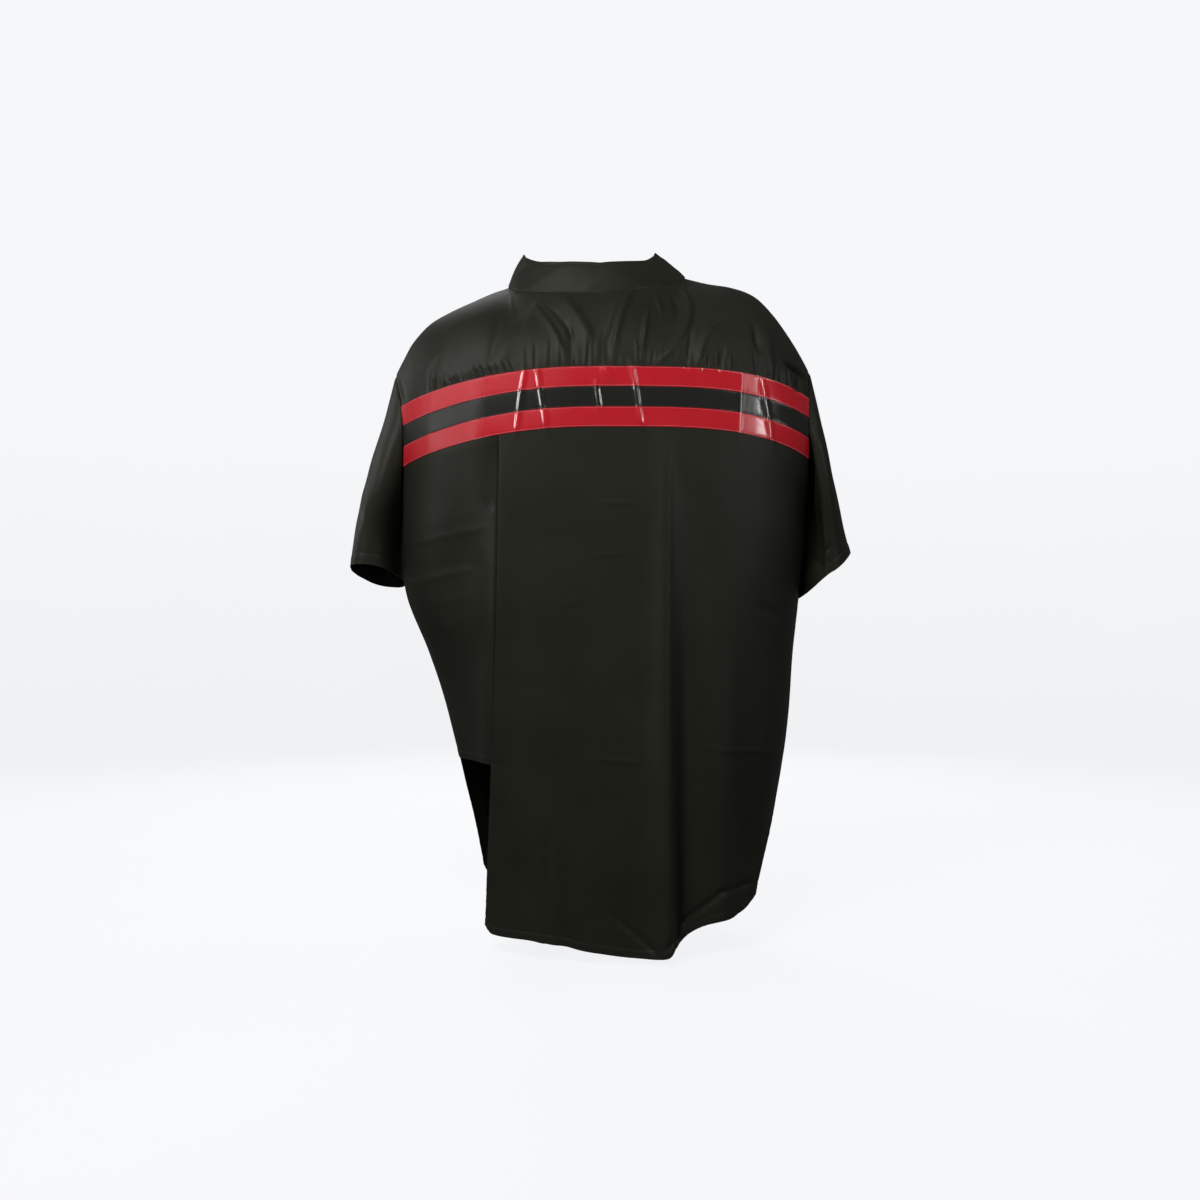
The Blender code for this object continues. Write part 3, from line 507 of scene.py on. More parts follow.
# Creases, in millimetres: X and Z of one end, X and Z of the other, bow to the right, width on the
# left, width on the right, height. First those that run out of the gathers, up to the neck.
YOKE_CREASES = [
    (-42, -34, -9, -92, 2, 8, 6, 4.1),
    (-69, -48, -37, -110, 3, 4, 3, 2.4),
    (-52, -50, -30, -84, 2, 3, 3, -2.2),
    (-33, -70, -30, -112, 0, 3, 3, -2.2),
    (33, -30, 15, -104, -3, 3.6, 3.2, 3.8),
    (20, -40, 6, -84, 0, 4, 4, 1.9),
    (52, -56, 44, -111, 0, 2.6, 2.4, 3.0),
    (62, -28, 68, -52, 0, 2.6, 2.4, 2.2),
    (91, -19, 95, -69, 6, 4, 4, 3.8),
    (96, -68, 69, -109, 2, 3.4, 3, 3.5),
    (80, -28, 84, -60, 4, 4, 4, -2.2),
    (99, -81, 94, -116, 0, 2.6, 2.6, -3.2),
    (127, -70, 108, -115, -5, 4.4, 2.6, 3.8),
    (170, -67, 173, -94, 0, 3.4, 4, -3.2),
    (183, -71, 186, -120, 0, 6, 6, 2.4),
    (-66, -32, -87, -87, 0, 6, 6, 1.6),
    (-111, -57, -119, -112, 0, 5, 5, -1.4),
    (-85, -58, -108, -112, 0, 7, 7, 1.2),
    (-180, -96, -194, -118, 0, 6, 6, 1.4),
    (-169, -69, -175, -129, 0, 7, 7, 1.1),
    (134, -92, 132, -119, 0, 2.4, 2.4, -2.2),
    (0, -76, -4, -113, 0, 3.6, 3.6, 1.4),
    (207, -108, 232, -121, 0, 3, 3, -5.5),
    (221, -116, 219, -138, 0, 3, 3, -5.0),
    (-229, -114, -218, -144, 0, 3, 3, -2.0),
]
# Pulls across the ribbon band
BAND_CREASES = [
    (-81, -120, -90, -189, 0, 3.0, 3.0, 1.75),
    (-68, -120, -57, -188, 0, 3.0, 3.0, 1.75),
    (-4, -138, 0, -166, 0, 2.8, 3.0, 1.8),
    (4, -119, 14, -133, 0, 4.0, 4.0, 1.5),
    (34, -114, 45, -184, 0, 2.7, 2.8, 1.8),
    (154, -122, 149, -194, 0, 4.0, 3.0, 0.7),
    (176, -128, 189, -204, 0, 4.5, 3.5, 0.8),
    (-183, -151, -186, -206, 0, 7.0, 7.0, 0.5),
    (-166, -148, -166, -200, 0, 5.0, 5.0, -0.4),
]
# The ridge, the folds of the hem and the faint creases between
LOWER_CREASES = [
    (72, -205, 70, -745, 0, 9, 5, 2.2),
    (2, -266, 36, -266, 0, 2.5, 2.5, 0.8),
    (-2, -283, 13, -283, 0, 2.5, 2.5, 0.5),
    (-12, -323, 36, -319, 0, 3, 3, 0.5),
    (-43, -377, -17, -368, 0, 3, 3, 0.5),
    (-6, -540, 38, -543, 0, 3, 3, 0.7),
    (122, -532, 201, -540, 0, 3, 3, 0.8),
    (-213, -309, -125, -292, 0, 4, 4, 0.45),
    (-218, -353, -138, -336, 0, 4, 4, 0.5),
    (-183, -374, -147, -368, 0, 5, 5, 0.4),
    (-124, -260, -118, -273, 0, 4, 4, -1.0),
    (175, -375, 197, -390, 0, 5, 5, -1.2),
    (105, -230, 112, -284, 0, 8, 8, -0.5),
    (-60, -620, -60, -750, 0, 1.5, 10, -2.4),
    (14, -708, 60, -748, 0, 3, 3, -2.0),
    (172, -688, 133, -690, 0, 4, 3, -2.6),
    (133, -690, 97, -716, 0, 3, 4, -2.8),
    (97, -716, 72, -741, 0, 3, 4, -2.6),
    (165, -327, 167, -502, 0, 10, 10, 0.6),
    (86, -214, 90, -263, 0, 6, 6, -1.0),
]
# Folds at the back of the sleeves
SLEEVE_CREASES = [
    (230, -187, 248, -330, 0, 16, 4, -8.0),
    (238, -320, 247, -334, 0, 2, 2, -1.8),
    (243, -324, 258, -310, 0, 2, 2, -1.8),
    (239, -120, 241, -198, 0, 2, 2, 1.2),
    (-266, -258, -266, -352, 0, 9, 0.9, -2.6),
    (-262, -150, -276, -262, 0, 4, 6, 1.2),
    (-250, -200, -262, -300, 0, 5, 5, -0.8),
]
# Creases like those of the back, for the fronts
FRONT_CREASES = [
    (-60, -95, -92, -180, 4, 6, 6, 1.8),
    (64, -90, 98, -175, -4, 6, 6, 1.8),
    (-125, -70, -140, -150, 0, 7, 7, 1.2),
    (130, -66, 146, -150, 0, 7, 7, 1.2),
    (-205, -150, -150, -230, 0, 6, 6, 1.4),
    (208, -150, 152, -235, 0, 6, 6, 1.4),
    (-200, -290, -120, -330, 0, 5, 5, 0.9),
    (200, -292, 118, -322, 0, 5, 5, 0.9),
    (-95, -360, -40, -352, 0, 4, 4, 0.6),
    (40, -402, 96, -410, 0, 4, 4, 0.6),
    (-120, -520, -70, -512, 0, 4, 4, 0.6),
    (50, -560, 120, -566, 0, 4, 4, 0.6),
]


GATHER_SPAN = (-0.198, 0.206)
DENSE_SPAN = (-0.172, -0.098)
BACK_HALF_WIDTH = 0.232
GATHER_SEED = 5


def gather_strokes():
    """Short gathers above the top ribbon, uneven in spacing, height, length and lean."""
    rng = np.random.default_rng(GATHER_SEED)
    made = []
    x = GATHER_SPAN[0]
    while x < GATHER_SPAN[1]:
        dense = DENSE_SPAN[0] < x < DENSE_SPAN[1]
        x += rng.uniform(0.0055, 0.0085) if dense else rng.uniform(0.006, 0.015)
        foot = body_point(BACK, np.array([x / BACK_HALF_WIDTH]), np.array([1.0]))[0] / MM
        reach = rng.uniform(9.0, 14.0) if dense else rng.uniform(10.0, 30.0)
        lean = rng.uniform(-7.0, -4.0) if dense else rng.uniform(-2.5, 2.5)
        wide = rng.uniform(1.4, 2.0)
        high = rng.uniform(1.2, 1.9) if dense else rng.uniform(0.5, 1.4)
        for beside, out in ((0.0, high), (2.8, -high)):
            top = (foot[0] + lean + beside, foot[2] + reach)
            made.append((*top, foot[0] + beside, foot[2] - 1.0, 0.0, wide, wide, out))
    return made


GATHERS = gather_strokes()


def back_detail(place):
    """Creases of the whole back, shared by the yoke, the lower back and the ribbons."""
    x, z = place[..., 0], place[..., 2]
    push = strokes(YOKE_CREASES, x, z) + strokes(BAND_CREASES, x, z) + strokes(LOWER_CREASES, x, z)
    return push + 0.0004 * rumple(x, z, 0.050, 11, 2.2) + 0.00004 * rumple(x, z, 0.012, 12, 2.0)


# ---------------------------------------------------------------- meshes
def graded(first, last, count, fine=()):
    """Values from first to last, closer together near the fine places: (place, reach, times)."""
    samples = np.linspace(first, last, 4001)
    weight = np.ones(samples.shape)
    for place, reach, times in fine:
        weight += times * np.exp(-(((samples - place) / reach) ** 2))
    total = np.concatenate([[0.0], np.cumsum((weight[1:] + weight[:-1]) / 2)])
    return np.interp(np.linspace(0.0, total[-1], count), total, samples)


def normals_of(grid, outside, closed=False):
    """The unit normal at each point of a grid, turned to the side that outside tells."""
    if closed:
        across = np.roll(grid, -1, 1) - np.roll(grid, 1, 1)
    else:
        across = np.gradient(grid, axis=1)
    down = np.gradient(grid, axis=0)
    normal = unit(np.cross(across, down))
    return normal * np.sign((normal * outside).sum(-1).mean())


def runs(grid):
    """How far each point is from the first row and from the first column, along the cloth."""
    down = np.zeros(grid.shape[:2])
    across = np.zeros(grid.shape[:2])
    down[1:] = np.cumsum(length(np.diff(grid, axis=0)), axis=0)
    across[:, 1:] = np.cumsum(length(np.diff(grid, axis=1)), axis=1)
    return down, across


SHARP_FROM = 50.0


def new_piece(name, mesh, finish):
    """An object for a mesh, with its material."""
    mesh.materials.append(finish)
    piece = bpy.data.objects.new(name, mesh)
    bpy.context.scene.collection.objects.link(piece)
    return piece


def cloth(name, grid, wall, finish, closed=False, keep=None, wear=None):
    """A cloth shell from a grid of points, with UVs in metres of cloth."""
    rows, columns = grid.shape[:2]
    down, across = runs(grid)
    lap = across[:, -1:] + length(grid[:, :1] - grid[:, -1:])
    u = np.hstack([across, lap]) - across[:, columns // 2][:, None]
    v = -np.hstack([down, down[:, :1]])
    steps = columns if closed else columns - 1
    i, j = np.meshgrid(np.arange(rows - 1), np.arange(steps), indexing="ij")
    around = ((i, j), (i + 1, j), (i + 1, j + 1), (i, j + 1))
    corners = np.stack([a * columns + b % columns for a, b in around], -1).reshape(-1, 4)
    uv = np.stack([np.stack([u[a, b], v[a, b]], -1) for a, b in around], 2).reshape(-1, 4, 2)
    if keep is not None:
        kept = keep.reshape(-1)[corners].all(-1)
        corners, uv = corners[kept], uv[kept]
    used = np.unique(corners)
    renumber = np.full(rows * columns, -1)
    renumber[used] = np.arange(len(used))
    mesh = bpy.data.meshes.new(name)
    mesh.from_pydata(grid.reshape(-1, 3)[used].tolist(), [], renumber[corners].tolist())
    mesh.uv_layers.new(name="cloth").data.foreach_set("uv", uv.reshape(-1))
    worn = np.zeros(grid.shape[:2]) if wear is None else wear
    edge = mesh.attributes.new("wear", "FLOAT", "POINT")
    edge.data.foreach_set("value", np.ascontiguousarray(worn.reshape(-1)[used]))
    mesh.shade_smooth()
    piece = new_piece(name, mesh, finish)
    solidify = piece.modifiers.new("wall", "SOLIDIFY")
    solidify.thickness = wall
    solidify.offset = 0.0
    solidify.use_rim = True
    depsgraph = bpy.context.evaluated_depsgraph_get()
    made = bpy.data.meshes.new_from_object(piece.evaluated_get(depsgraph))
    made.set_sharp_from_angle(angle=math.radians(SHARP_FROM))
    piece.modifiers.clear()
    piece.data = made
    made.name = name
    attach(piece, "root")
    return piece


STITCH_SIDES = 6
STITCH_SHAPE = ((-0.5, 0.0), (-0.42, 0.75), (0.0, 1.0), (0.42, 0.75), (0.5, 0.0))
STITCH_FLAT = 0.8  # a stitch's height, as a share of its width
STITCH_REACH = 0.0008  # how far ahead and behind a stitch looks for its direction


def one_stitch():
    """A spindle with pointed ends, 1 long and 1 in radius: its points and faces."""
    spindle, faces, starts = [], [], []
    for along, wide in STITCH_SHAPE:
        starts.append(len(spindle))
        for n in range(STITCH_SIDES if wide else 1):
            turn = 2 * math.pi * n / STITCH_SIDES
            spindle.append((along, wide * math.cos(turn), wide * math.sin(turn)))
    for n in range(STITCH_SIDES):
        m = (n + 1) % STITCH_SIDES
        faces.append((0, starts[1] + m, starts[1] + n))
        for a, b in ((starts[1], starts[2]), (starts[2], starts[3])):
            faces.append((a + n, a + m, b + m, b + n))
        faces.append((starts[3] + n, starts[3] + m, starts[4]))
    return np.array(spindle), faces


def stitches(name, paths, finish, pitch=0.0032, share=0.72, thick=0.00045):
    """Rows of stitches along paths: each path is points, normals, pitch."""
    spindle, faces = one_stitch()
    places, seats, ways = [], [], []
    for path, normal, spacing in paths:
        run = np.concatenate([[0.0], np.cumsum(length(np.diff(path, axis=0)))])
        count = max(int(run[-1] / spacing), 1)
        at = (np.arange(count) + 0.5) * run[-1] / count
        place, ahead, behind, seat = (
            np.stack([np.interp(where, run, values[:, n]) for n in range(3)], -1)
            for where, values in (
                (at, path), (at + STITCH_REACH, path), (at - STITCH_REACH, path), (at, normal)
            )
        )
        places.append(place)
        ways.append(unit(ahead - behind))
        seats.append(unit(seat))
    place, way, seat = (np.concatenate(group) for group in (places, ways, seats))
    beside = unit(np.cross(seat, way))
    verts = (
        place[:, None, :]
        + way[:, None, :] * spindle[None, :, 0:1] * (pitch * share)
        + beside[:, None, :] * spindle[None, :, 1:2] * (thick / 2)
        + seat[:, None, :] * (spindle[None, :, 2:3] * (thick / 2 * STITCH_FLAT))
    )
    firsts = range(0, len(place) * len(spindle), len(spindle))
    mesh = bpy.data.meshes.new(name)
    all_faces = [tuple(first + n for n in face) for first in firsts for face in faces]
    mesh.from_pydata(verts.reshape(-1, 3).tolist(), [], all_faces)
    mesh.shade_smooth()
    piece = new_piece(name, mesh, finish)
    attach(piece, "root")
    return piece


def turned(bm, profile, steps, closed=False):
    """Spins a profile of (radius, height) points right round the Z axis."""
    verts = [bm.verts.new((r, 0.0, z)) for r, z in profile]
    edges = [bm.edges.new(pair) for pair in zip(verts, verts[1:] + (verts[:1] if closed else []))]
    bmesh.ops.spin(
        bm, geom=verts + edges, cent=(0, 0, 0), axis=(0, 0, 1), angle=2 * math.pi, steps=steps,
        use_merge=True,
    )


def finished(bm, name):
    """A smooth mesh from a bmesh."""
    mesh = bpy.data.meshes.new(name)
    bm.to_mesh(mesh)
    bm.free()
    mesh.shade_smooth()
    return mesh


# ---------------------------------------------------------------- materials
def shader_of(name):
    """A new node material, its tree and its shader."""
    made = bpy.data.materials.new(name)
    made.use_nodes = True
    return made, made.node_tree, made.node_tree.nodes["Principled BSDF"]


def feed(tree, socket, value):
    """Sets an input, or links the output that feeds it."""
    if isinstance(value, bpy.types.NodeSocket):
        tree.links.new(value, socket)
    else:
        socket.default_value = value


def add(tree, kind, output, **settings):
    """Adds a node and returns one output. An underscore stands for a space in an input's name."""
    node = tree.nodes.new(kind)
    for key, value in settings.items():
        name = key.replace("_", " ")
        if name in node.inputs:
            feed(tree, node.inputs[name], value)
        else:
            setattr(node, key, value)
    return node.outputs[output]


def noise(tree, place, **settings):
    """Noise at a place."""
    return add(tree, "ShaderNodeTexNoise", "Fac", Vector=place, **settings)


def placed(tree, place, scale):
    """A place, scaled along its axes."""
    return add(tree, "ShaderNodeMapping", "Vector", Vector=place, Scale=scale)


def mixed(tree, share, first, second):
    """Two colours blended by a share."""
    return add(tree, "ShaderNodeMix", "Result", data_type="RGBA", Factor=share, A=first, B=second)


def moved(tree, value, low, high, to_low, to_high):
    """A value that lies between two others, moved to lie between another two."""
    return add(tree, "ShaderNodeMapRange", "Result", Value=value, From_Min=low, From_Max=high,
               To_Min=to_low, To_Max=to_high)


def scaled(tree, value, times, plus=0.0):
    """A value multiplied and added to."""
    node = tree.nodes.new("ShaderNodeMath")
    node.operation = "MULTIPLY_ADD"
    for socket, fed in zip(node.inputs, (value, times, plus)):
        feed(tree, socket, fed)
    return node.outputs["Value"]


def bumped(tree, height, strength, distance, **under):
    """A bump of a height, over another bump if one is given."""
    return add(tree, "ShaderNodeBump", "Normal", Height=height, Strength=strength,
               Distance=distance, **under)


def dress(tree, shader, **inputs):
    """Sets or links inputs of the shader."""
    for key, value in inputs.items():
        feed(tree, shader.inputs[key.replace("_", " ")], value)


WORN_ROUGHER = 0.42  # how much rougher a ribbon is where it is worn


def satin(name, dark, light, rough, weave, anisotropic=0.0, specular=0.5, worn=None):
    """Satin: fine weave in the bump, uneven colour and gloss, paler at worn edges."""
    made, tree, shader = shader_of(name)
    place = tree.nodes.new("ShaderNodeTexCoord").outputs
    broad = noise(tree, place["Object"], Scale=14.0, Detail=4.0, Roughness=0.55)
    slubs = placed(tree, place["UV"], (700.0, 420.0, 1.0))
    grain = noise(tree, slubs, Scale=1.0, Detail=3.0, Roughness=0.6)
    uneven = moved(tree, broad, 0.3, 0.7, 0.0, 0.30)
    colour = mixed(tree, scaled(tree, grain, 0.75, uneven), (*dark, 1.0), (*light, 1.0))
    wear = add(tree, "ShaderNodeAttribute", "Fac", attribute_name="wear")
    if worn:
        colour = mixed(tree, scaled(tree, wear, grain), colour, (*worn, 1.0))
    gloss = moved(tree, broad, 0.25, 0.75, rough - 0.05, rough + 0.06)
    threads = placed(tree, place["UV"], (1.0 / weave, 1.0 / weave, 1.0))
    warp, weft = (
        add(tree, "ShaderNodeTexWave", "Fac", bands_direction=way, Scale=0.32, Vector=threads)
        for way in "XY"
    )
    weave_bump = bumped(tree, scaled(tree, weft, 0.5, warp), 0.12 if worn else 0.02, 0.0002)
    fine = noise(tree, place["Object"], Scale=260.0, Detail=2.0)
    dress(
        tree, shader, Base_Color=colour, Specular_IOR_Level=specular,
        Roughness=scaled(tree, wear, 0.0 if worn else WORN_ROUGHER, gloss),
        Normal=bumped(tree, fine, 0.10 if worn else 0.03, 0.0004, Normal=weave_bump),
    )
    if anisotropic:
        along = add(tree, "ShaderNodeTangent", "Tangent", direction_type="UV_MAP", uv_map="cloth")
        dress(tree, shader, Tangent=along, Anisotropic=anisotropic, Anisotropic_Rotation=0.25)
    return made


def polished(name, dark, light, rough):
    """Moulded plastic with faint swirls and fine scratches."""
    made, tree, shader = shader_of(name)
    place = tree.nodes.new("ShaderNodeTexCoord").outputs["Object"]
    swirl = noise(tree, place, Scale=220.0, Detail=4.0, Distortion=1.5)
    dress(
        tree, shader, Base_Color=mixed(tree, swirl, (*dark, 1.0), (*light, 1.0)),
        Roughness=moved(tree, swirl, 0.0, 1.0, rough - 0.06, rough + 0.12),
        Normal=bumped(tree, swirl, 0.08, 0.0001),
    )
    return made


CLOTH = satin("satin cloth", (0.0112, 0.0109, 0.0066), (0.0232, 0.0226, 0.0160), 0.50, 0.0004,
              specular=0.22, worn=(0.034, 0.033, 0.027))
RED = satin("red ribbon", (0.48, 0.0080, 0.015), (0.58, 0.0120, 0.023), 0.19, 0.0003,
            anisotropic=0.65, specular=0.75)
BLACK = satin("black ribbon", (0.0120, 0.0116, 0.0096), (0.0170, 0.0165, 0.0140), 0.19, 0.0003,
              anisotropic=0.65, specular=0.75)
THREAD = satin("black thread", (0.014, 0.014, 0.012), (0.024, 0.023, 0.021), 0.55, 0.0003)
# Red thread, paler and pinker than the ribbon: the thread is red, and the paleness is a painted
# highlight on its stitches.
RED_THREAD_PAINTED_HIGHLIGHT = satin("red thread with painted highlight", (0.66, 0.13, 0.15), (0.76, 0.20, 0.22), 0.5, 0.0003)
BUTTON = polished("button plastic", (0.010, 0.010, 0.010), (0.020, 0.019, 0.018), 0.24)

CLOTH_WALL = 0.0011
COLLAR_WALL = 0.0014
RIBBON_THICK = 0.0005
RIBBON_LIFT = 0.00115
HEM = 0.009
SLEEVE_HEM = 0.012
PLACKET = 0.030
RIBBON_PITCH = 0.0032  # stitches along the ribbons
HEM_PITCH = 0.0030  # stitches elsewhere
STITCH_LIFT = 0.00008  # stitches lie this far off the cloth
HEM_STEP = 0.00035  # a hem stands out this far
OUT_BACK, OUT_FRONT = points(0.0, -1.0, 0.0), points(0.0, 1.0, 0.0)


def hem_push(distance, along, seed, band=HEM, deep=0.00045):
    """A folded and stitched edge: the band stands out a little and its stitching sinks in."""
    body = HEM_STEP * smooth(band + 0.0012, band - 0.0006, distance)
    groove = -deep * np.exp(-(((distance - band) / 0.0009) ** 2))
    pucker = 0.00016 * rumple(along, distance * 0.6, 0.0075, seed)
    return body + groove + pucker * smooth(band * 2.2, 0.0, distance)


def seam_push(distance):
    """Cloth dips into a seam, 0.9 mm deep."""
    return -0.0009 * np.exp(-((distance / 0.0016) ** 2))


def top_seam_push(run_down, column):
    """The dip into the shoulder seam, slight along the neck."""
    shoulder = smooth(NECK_COLUMN - 0.01, NECK_COLUMN + 0.01, np.abs(column))
    return seam_push(run_down) * (0.15 + 0.85 * shoulder)


SURFACES = {}
LAYOUT = {}


def keep_surface(name, grid, normal):
    """Keeps a panel's finished surface, so that sewing can follow it."""
    SURFACES[name] = (grid, normal, *runs(grid))


def path_at(grid, normal, run, at, pick, lift):
    """A path through the picked columns of a grid, at a distance down each of them."""
    chosen = range(grid.shape[1]) if pick is None else np.flatnonzero(pick)
    spot, face = (
        np.array([[np.interp(at[j], run[:, j], of[:, j, k]) for k in range(3)] for j in chosen])
        for of in (grid, normal)
    )
    return spot + face * lift, face


def path_down(name, distance, pick=None, from_end=False, lift=0.0):
    """A path that runs across a panel, at a distance from its first or last row."""
    grid, normal, run, _ = SURFACES[name]
    at = run[-1] - distance if from_end else np.full(run.shape[1], distance)
    return path_at(grid, normal, run, at, pick, lift)


def path_across(name, distance, pick=None, from_end=False, start=None, lift=0.0):
    """A path that runs down a panel, at a distance from its first or last column, or from start."""
    grid, normal, _, run = SURFACES[name]
    if start is not None:
        at = run[:, start] + distance
    else:
        at = run[:, -1] - distance if from_end else np.full(run.shape[0], distance)
    return path_at(grid.swapaxes(0, 1), normal.swapaxes(0, 1), run.T, at, pick, lift)


def laid(face, columns, rows):
    """The points of a panel of the body, with their rows and columns."""
    column, down = np.meshgrid(columns, rows)
    return body_point(face, column, down), column, down


# ---------------------------------------------------------------- back
SEAM_DOWN = 1.0 + 1.5 * RIBBON_WIDTH
SEAM_GAP = 0.0002
# The step beside the left crease: its depth, how much deeper it gets and at which height, over
# which reach; its width; the depth and width of the line along it; where it starts and is full
STEP_DEEP, STEP_DEEPER, STEP_HEIGHT, STEP_REACH = 0.0016, 0.0034, -0.25, 0.07
STEP_WIDE, LINE_DEEP, LINE_WIDE = 0.050, 0.0022, 0.007
STEP_START, STEP_FULL = -0.186, -0.215


def build_yoke():
    """The gathered yoke, from the neck and shoulders to the seam under the middle ribbon."""
    columns = graded(-1.0, 1.0, 300, [(-1.0, 0.01, 3.0), (1.0, 0.01, 3.0)])
    rows = np.concatenate([
        graded(0.0, 1.0, 96, [(0.0, 0.02, 5.0), (1.0, 0.16, 1.2)])[:-1],
        np.linspace(1.0, SEAM_DOWN - SEAM_GAP, 12),
    ])
    base, column, _ = laid(BACK, columns, rows)
    normal = normals_of(base, points(0.0, -1.0, 0.3))
    run_down, run_across = runs(base)
    push = back_detail(base) + strokes(GATHERS, base[..., 0], base[..., 2])
    push += top_seam_push(run_down, column)
    push += seam_push(run_across) + seam_push(run_across[:, -1:] - run_across)
    base = base + normal * push[..., None]
    wear = 0.25 * np.exp(-run_down / 0.004)
    piece = cloth("yoke_cloth", base, CLOTH_WALL, CLOTH, wear=wear)
    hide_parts("back_yoke")


def build_lower_back():
    """The lower back with its tail; the left side ends at the top of the vent."""
    tail = CREASE_COLUMN[LEFT]
    columns = np.concatenate([
        graded(-1.0, tail, 56, [(-1.0, 0.01, 3.0), (tail, 0.03, 2.0)])[:-1],
        graded(tail, 1.0, 156, [(tail, 0.03, 3.0), (0.33, 0.12, 1.0), (1.0, 0.01, 3.0)]),
    ])
    drop = 1.0 + BACK_LINES[0][0] - VENT_TOP
    rows = np.concatenate([
        graded(SEAM_DOWN + SEAM_GAP, drop, 144, [(drop, 0.008, 2.0)])[:-1],
        2.0 + graded(0.0, 1.0, 74, [(1.0, 0.05, 2.5)]),
    ])
    base, column, down = laid(BACK, columns, rows)
    normal = normals_of(base, OUT_BACK)
    run_down, run_across = runs(base)
    kept = (down <= 2.0 + 1e-9) | (column >= tail - 1e-9)
    to_hem = run_down[-1:] - run_down
    to_right = run_across[:, -1:] - run_across
    push = back_detail(base)
    push += hem_push(to_hem, run_across, 21) * smooth(tail - 0.02, tail, column)
    vent_row = int(np.argmin(np.abs(rows - 2.0)))
    to_vent = run_down[vent_row][None] - run_down
    push += hem_push(np.abs(to_vent), run_across, 22) * (column < tail) * (down <= 2.0)
    tail_column = int(np.argmin(np.abs(columns - tail)))
    to_tail = run_across - run_across[:, tail_column][:, None]
    push += hem_push(np.abs(to_tail), run_down, 23) * (down > 1.999) * (column >= tail)
    push += hem_push(to_right, run_down, 24) * (down > 2.0)
    push += (seam_push(run_across) + seam_push(to_right)) * (down <= 2.0)
    z = base[..., 2]
    dip = STEP_DEEP + STEP_DEEPER * np.exp(-(((z - STEP_HEIGHT) / STEP_REACH) ** 2))
    dip *= np.exp(-(((column - tail) / STEP_WIDE) ** 2))
    dip += LINE_DEEP * np.exp(-(((column - tail) / LINE_WIDE) ** 2))
    push -= dip * smooth(STEP_START, STEP_FULL, z) * (column < tail - 1e-9) * (down <= 2.0)
    base = base + normal * push[..., None]
    keep_surface("lower_back", base, normals_of(base, OUT_BACK))
    LAYOUT["lower_back"] = (columns, rows, tail_column, vent_row)
    piece = cloth("lower_back_cloth", base, CLOTH_WALL, CLOTH, keep=kept)
    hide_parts("back_lower")


DULL_LEFT = (-0.118, -0.152)  # the ribbons start to lose their gloss here, and have lost it here
DULL_RIGHT = ((0.150, 0.157), (0.173, 0.166))  # and so again between two pulls on the right
DULL_RIGHT_SHARE = 0.45


def dull_ends(x):
    """Where the ribbons have lost some gloss."""
    right = DULL_RIGHT_SHARE * smooth(*DULL_RIGHT[0], x) * smooth(*DULL_RIGHT[1], x)
    return smooth(*DULL_LEFT, x) + right


def build_ribbons():
    """Three ribbons sewn on the back, edge to edge."""
    end = RIBBON_END / abs(ARMHOLES[LEFT][1])
    columns = np.linspace(-1.0 + end, 1.0 - end, 640)
    for i, (name, finish, slot) in enumerate((
        ("ribbon_top", RED, "red_ribbon"),
        ("ribbon_middle", BLACK, "black_ribbon"),
        ("ribbon_bottom", RED, "red_ribbon"),
    )):
        top = 1.0 + i * RIBBON_WIDTH + 0.0001
        fine = [(0.0, 0.002, 2.0), (RIBBON_WIDTH, 0.002, 2.0)]
        rows = top + graded(0.0, RIBBON_WIDTH - 0.0002, 15, fine)
        base = laid(BACK, columns, rows)[0]
        normal = normals_of(base, OUT_BACK)
        run_down, run_across = runs(base)
        edge = np.minimum(run_down, run_down[-1:] - run_down)
        push = back_detail(base) + RIBBON_LIFT
        pull = 0.00045 * np.exp(-(((edge - 0.0009) / 0.0008) ** 2))
        push -= pull * (0.5 + 0.5 * np.cos(run_across * 2 * np.pi / RIBBON_PITCH))
        push += 0.00003 * rumple(run_across, run_down, 0.009, 40 + i, 3.0)
        base = base + normal * push[..., None]
        keep_surface(name, base, normals_of(base, OUT_BACK))
        piece = cloth(name + "_satin", base, RIBBON_THICK, finish, wear=dull_ends(base[..., 0]))
        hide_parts(name)


def build_fronts():
    """The two fronts, the left one lapped over the right one."""
    lap = FRONT_LAP / (2 * abs(ARMHOLES[LEFT][1]))
    drop = 1.0 + FRONT_LINES[0][0] - VENT_TOP
    rows = np.concatenate([
        graded(0.0, 1.0, 60, [(0.0, 0.02, 4.0)])[:-1],
        np.linspace(1.0, drop, 120)[:-1],
        2.0 + graded(0.0, 1.0, 46, [(1.0, 0.08, 3.0)]),
    ])
    for side, name, first, last in (
        (LEFT, "front_left", -1.0, lap),
        (RIGHT, "front_right", -lap, 1.0),
    ):
        columns = graded(first, last, 110, [(first, 0.015, 3.0), (last, 0.015, 3.0)])
        base, column, down = laid(FRONT, columns, rows)
        normal = normals_of(base, OUT_FRONT)
        x, z = base[..., 0], base[..., 2]
        push = strokes(FRONT_CREASES, x, z) + 0.0004 * rumple(x, z, 0.05, 15, 1.6)
        run_down, run_across = runs(base)
        to_side = run_across if side == LEFT else run_across[:, -1:] - run_across
        to_edge = run_across[:, -1:] - run_across if side == LEFT else run_across
        push += top_seam_push(run_down, column) + seam_push(to_side) * (down <= 2.0)
        push += hem_push(to_side, run_down, 31) * (down > 2.0)
        push += hem_push(run_down[-1:] - run_down, run_across, 32)
        push += hem_push(to_edge, run_down, 33, band=PLACKET, deep=0.0003)
        if side == RIGHT:
            push -= LAP_STEP * smooth(*LAP_COLUMNS, column)
        base = base + normal * push[..., None]
        keep_surface(name, base, normals_of(base, OUT_FRONT))
        LAYOUT[name] = (columns, rows)
        piece = cloth(name + "_cloth", base, CLOTH_WALL, CLOTH)
        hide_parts(name)


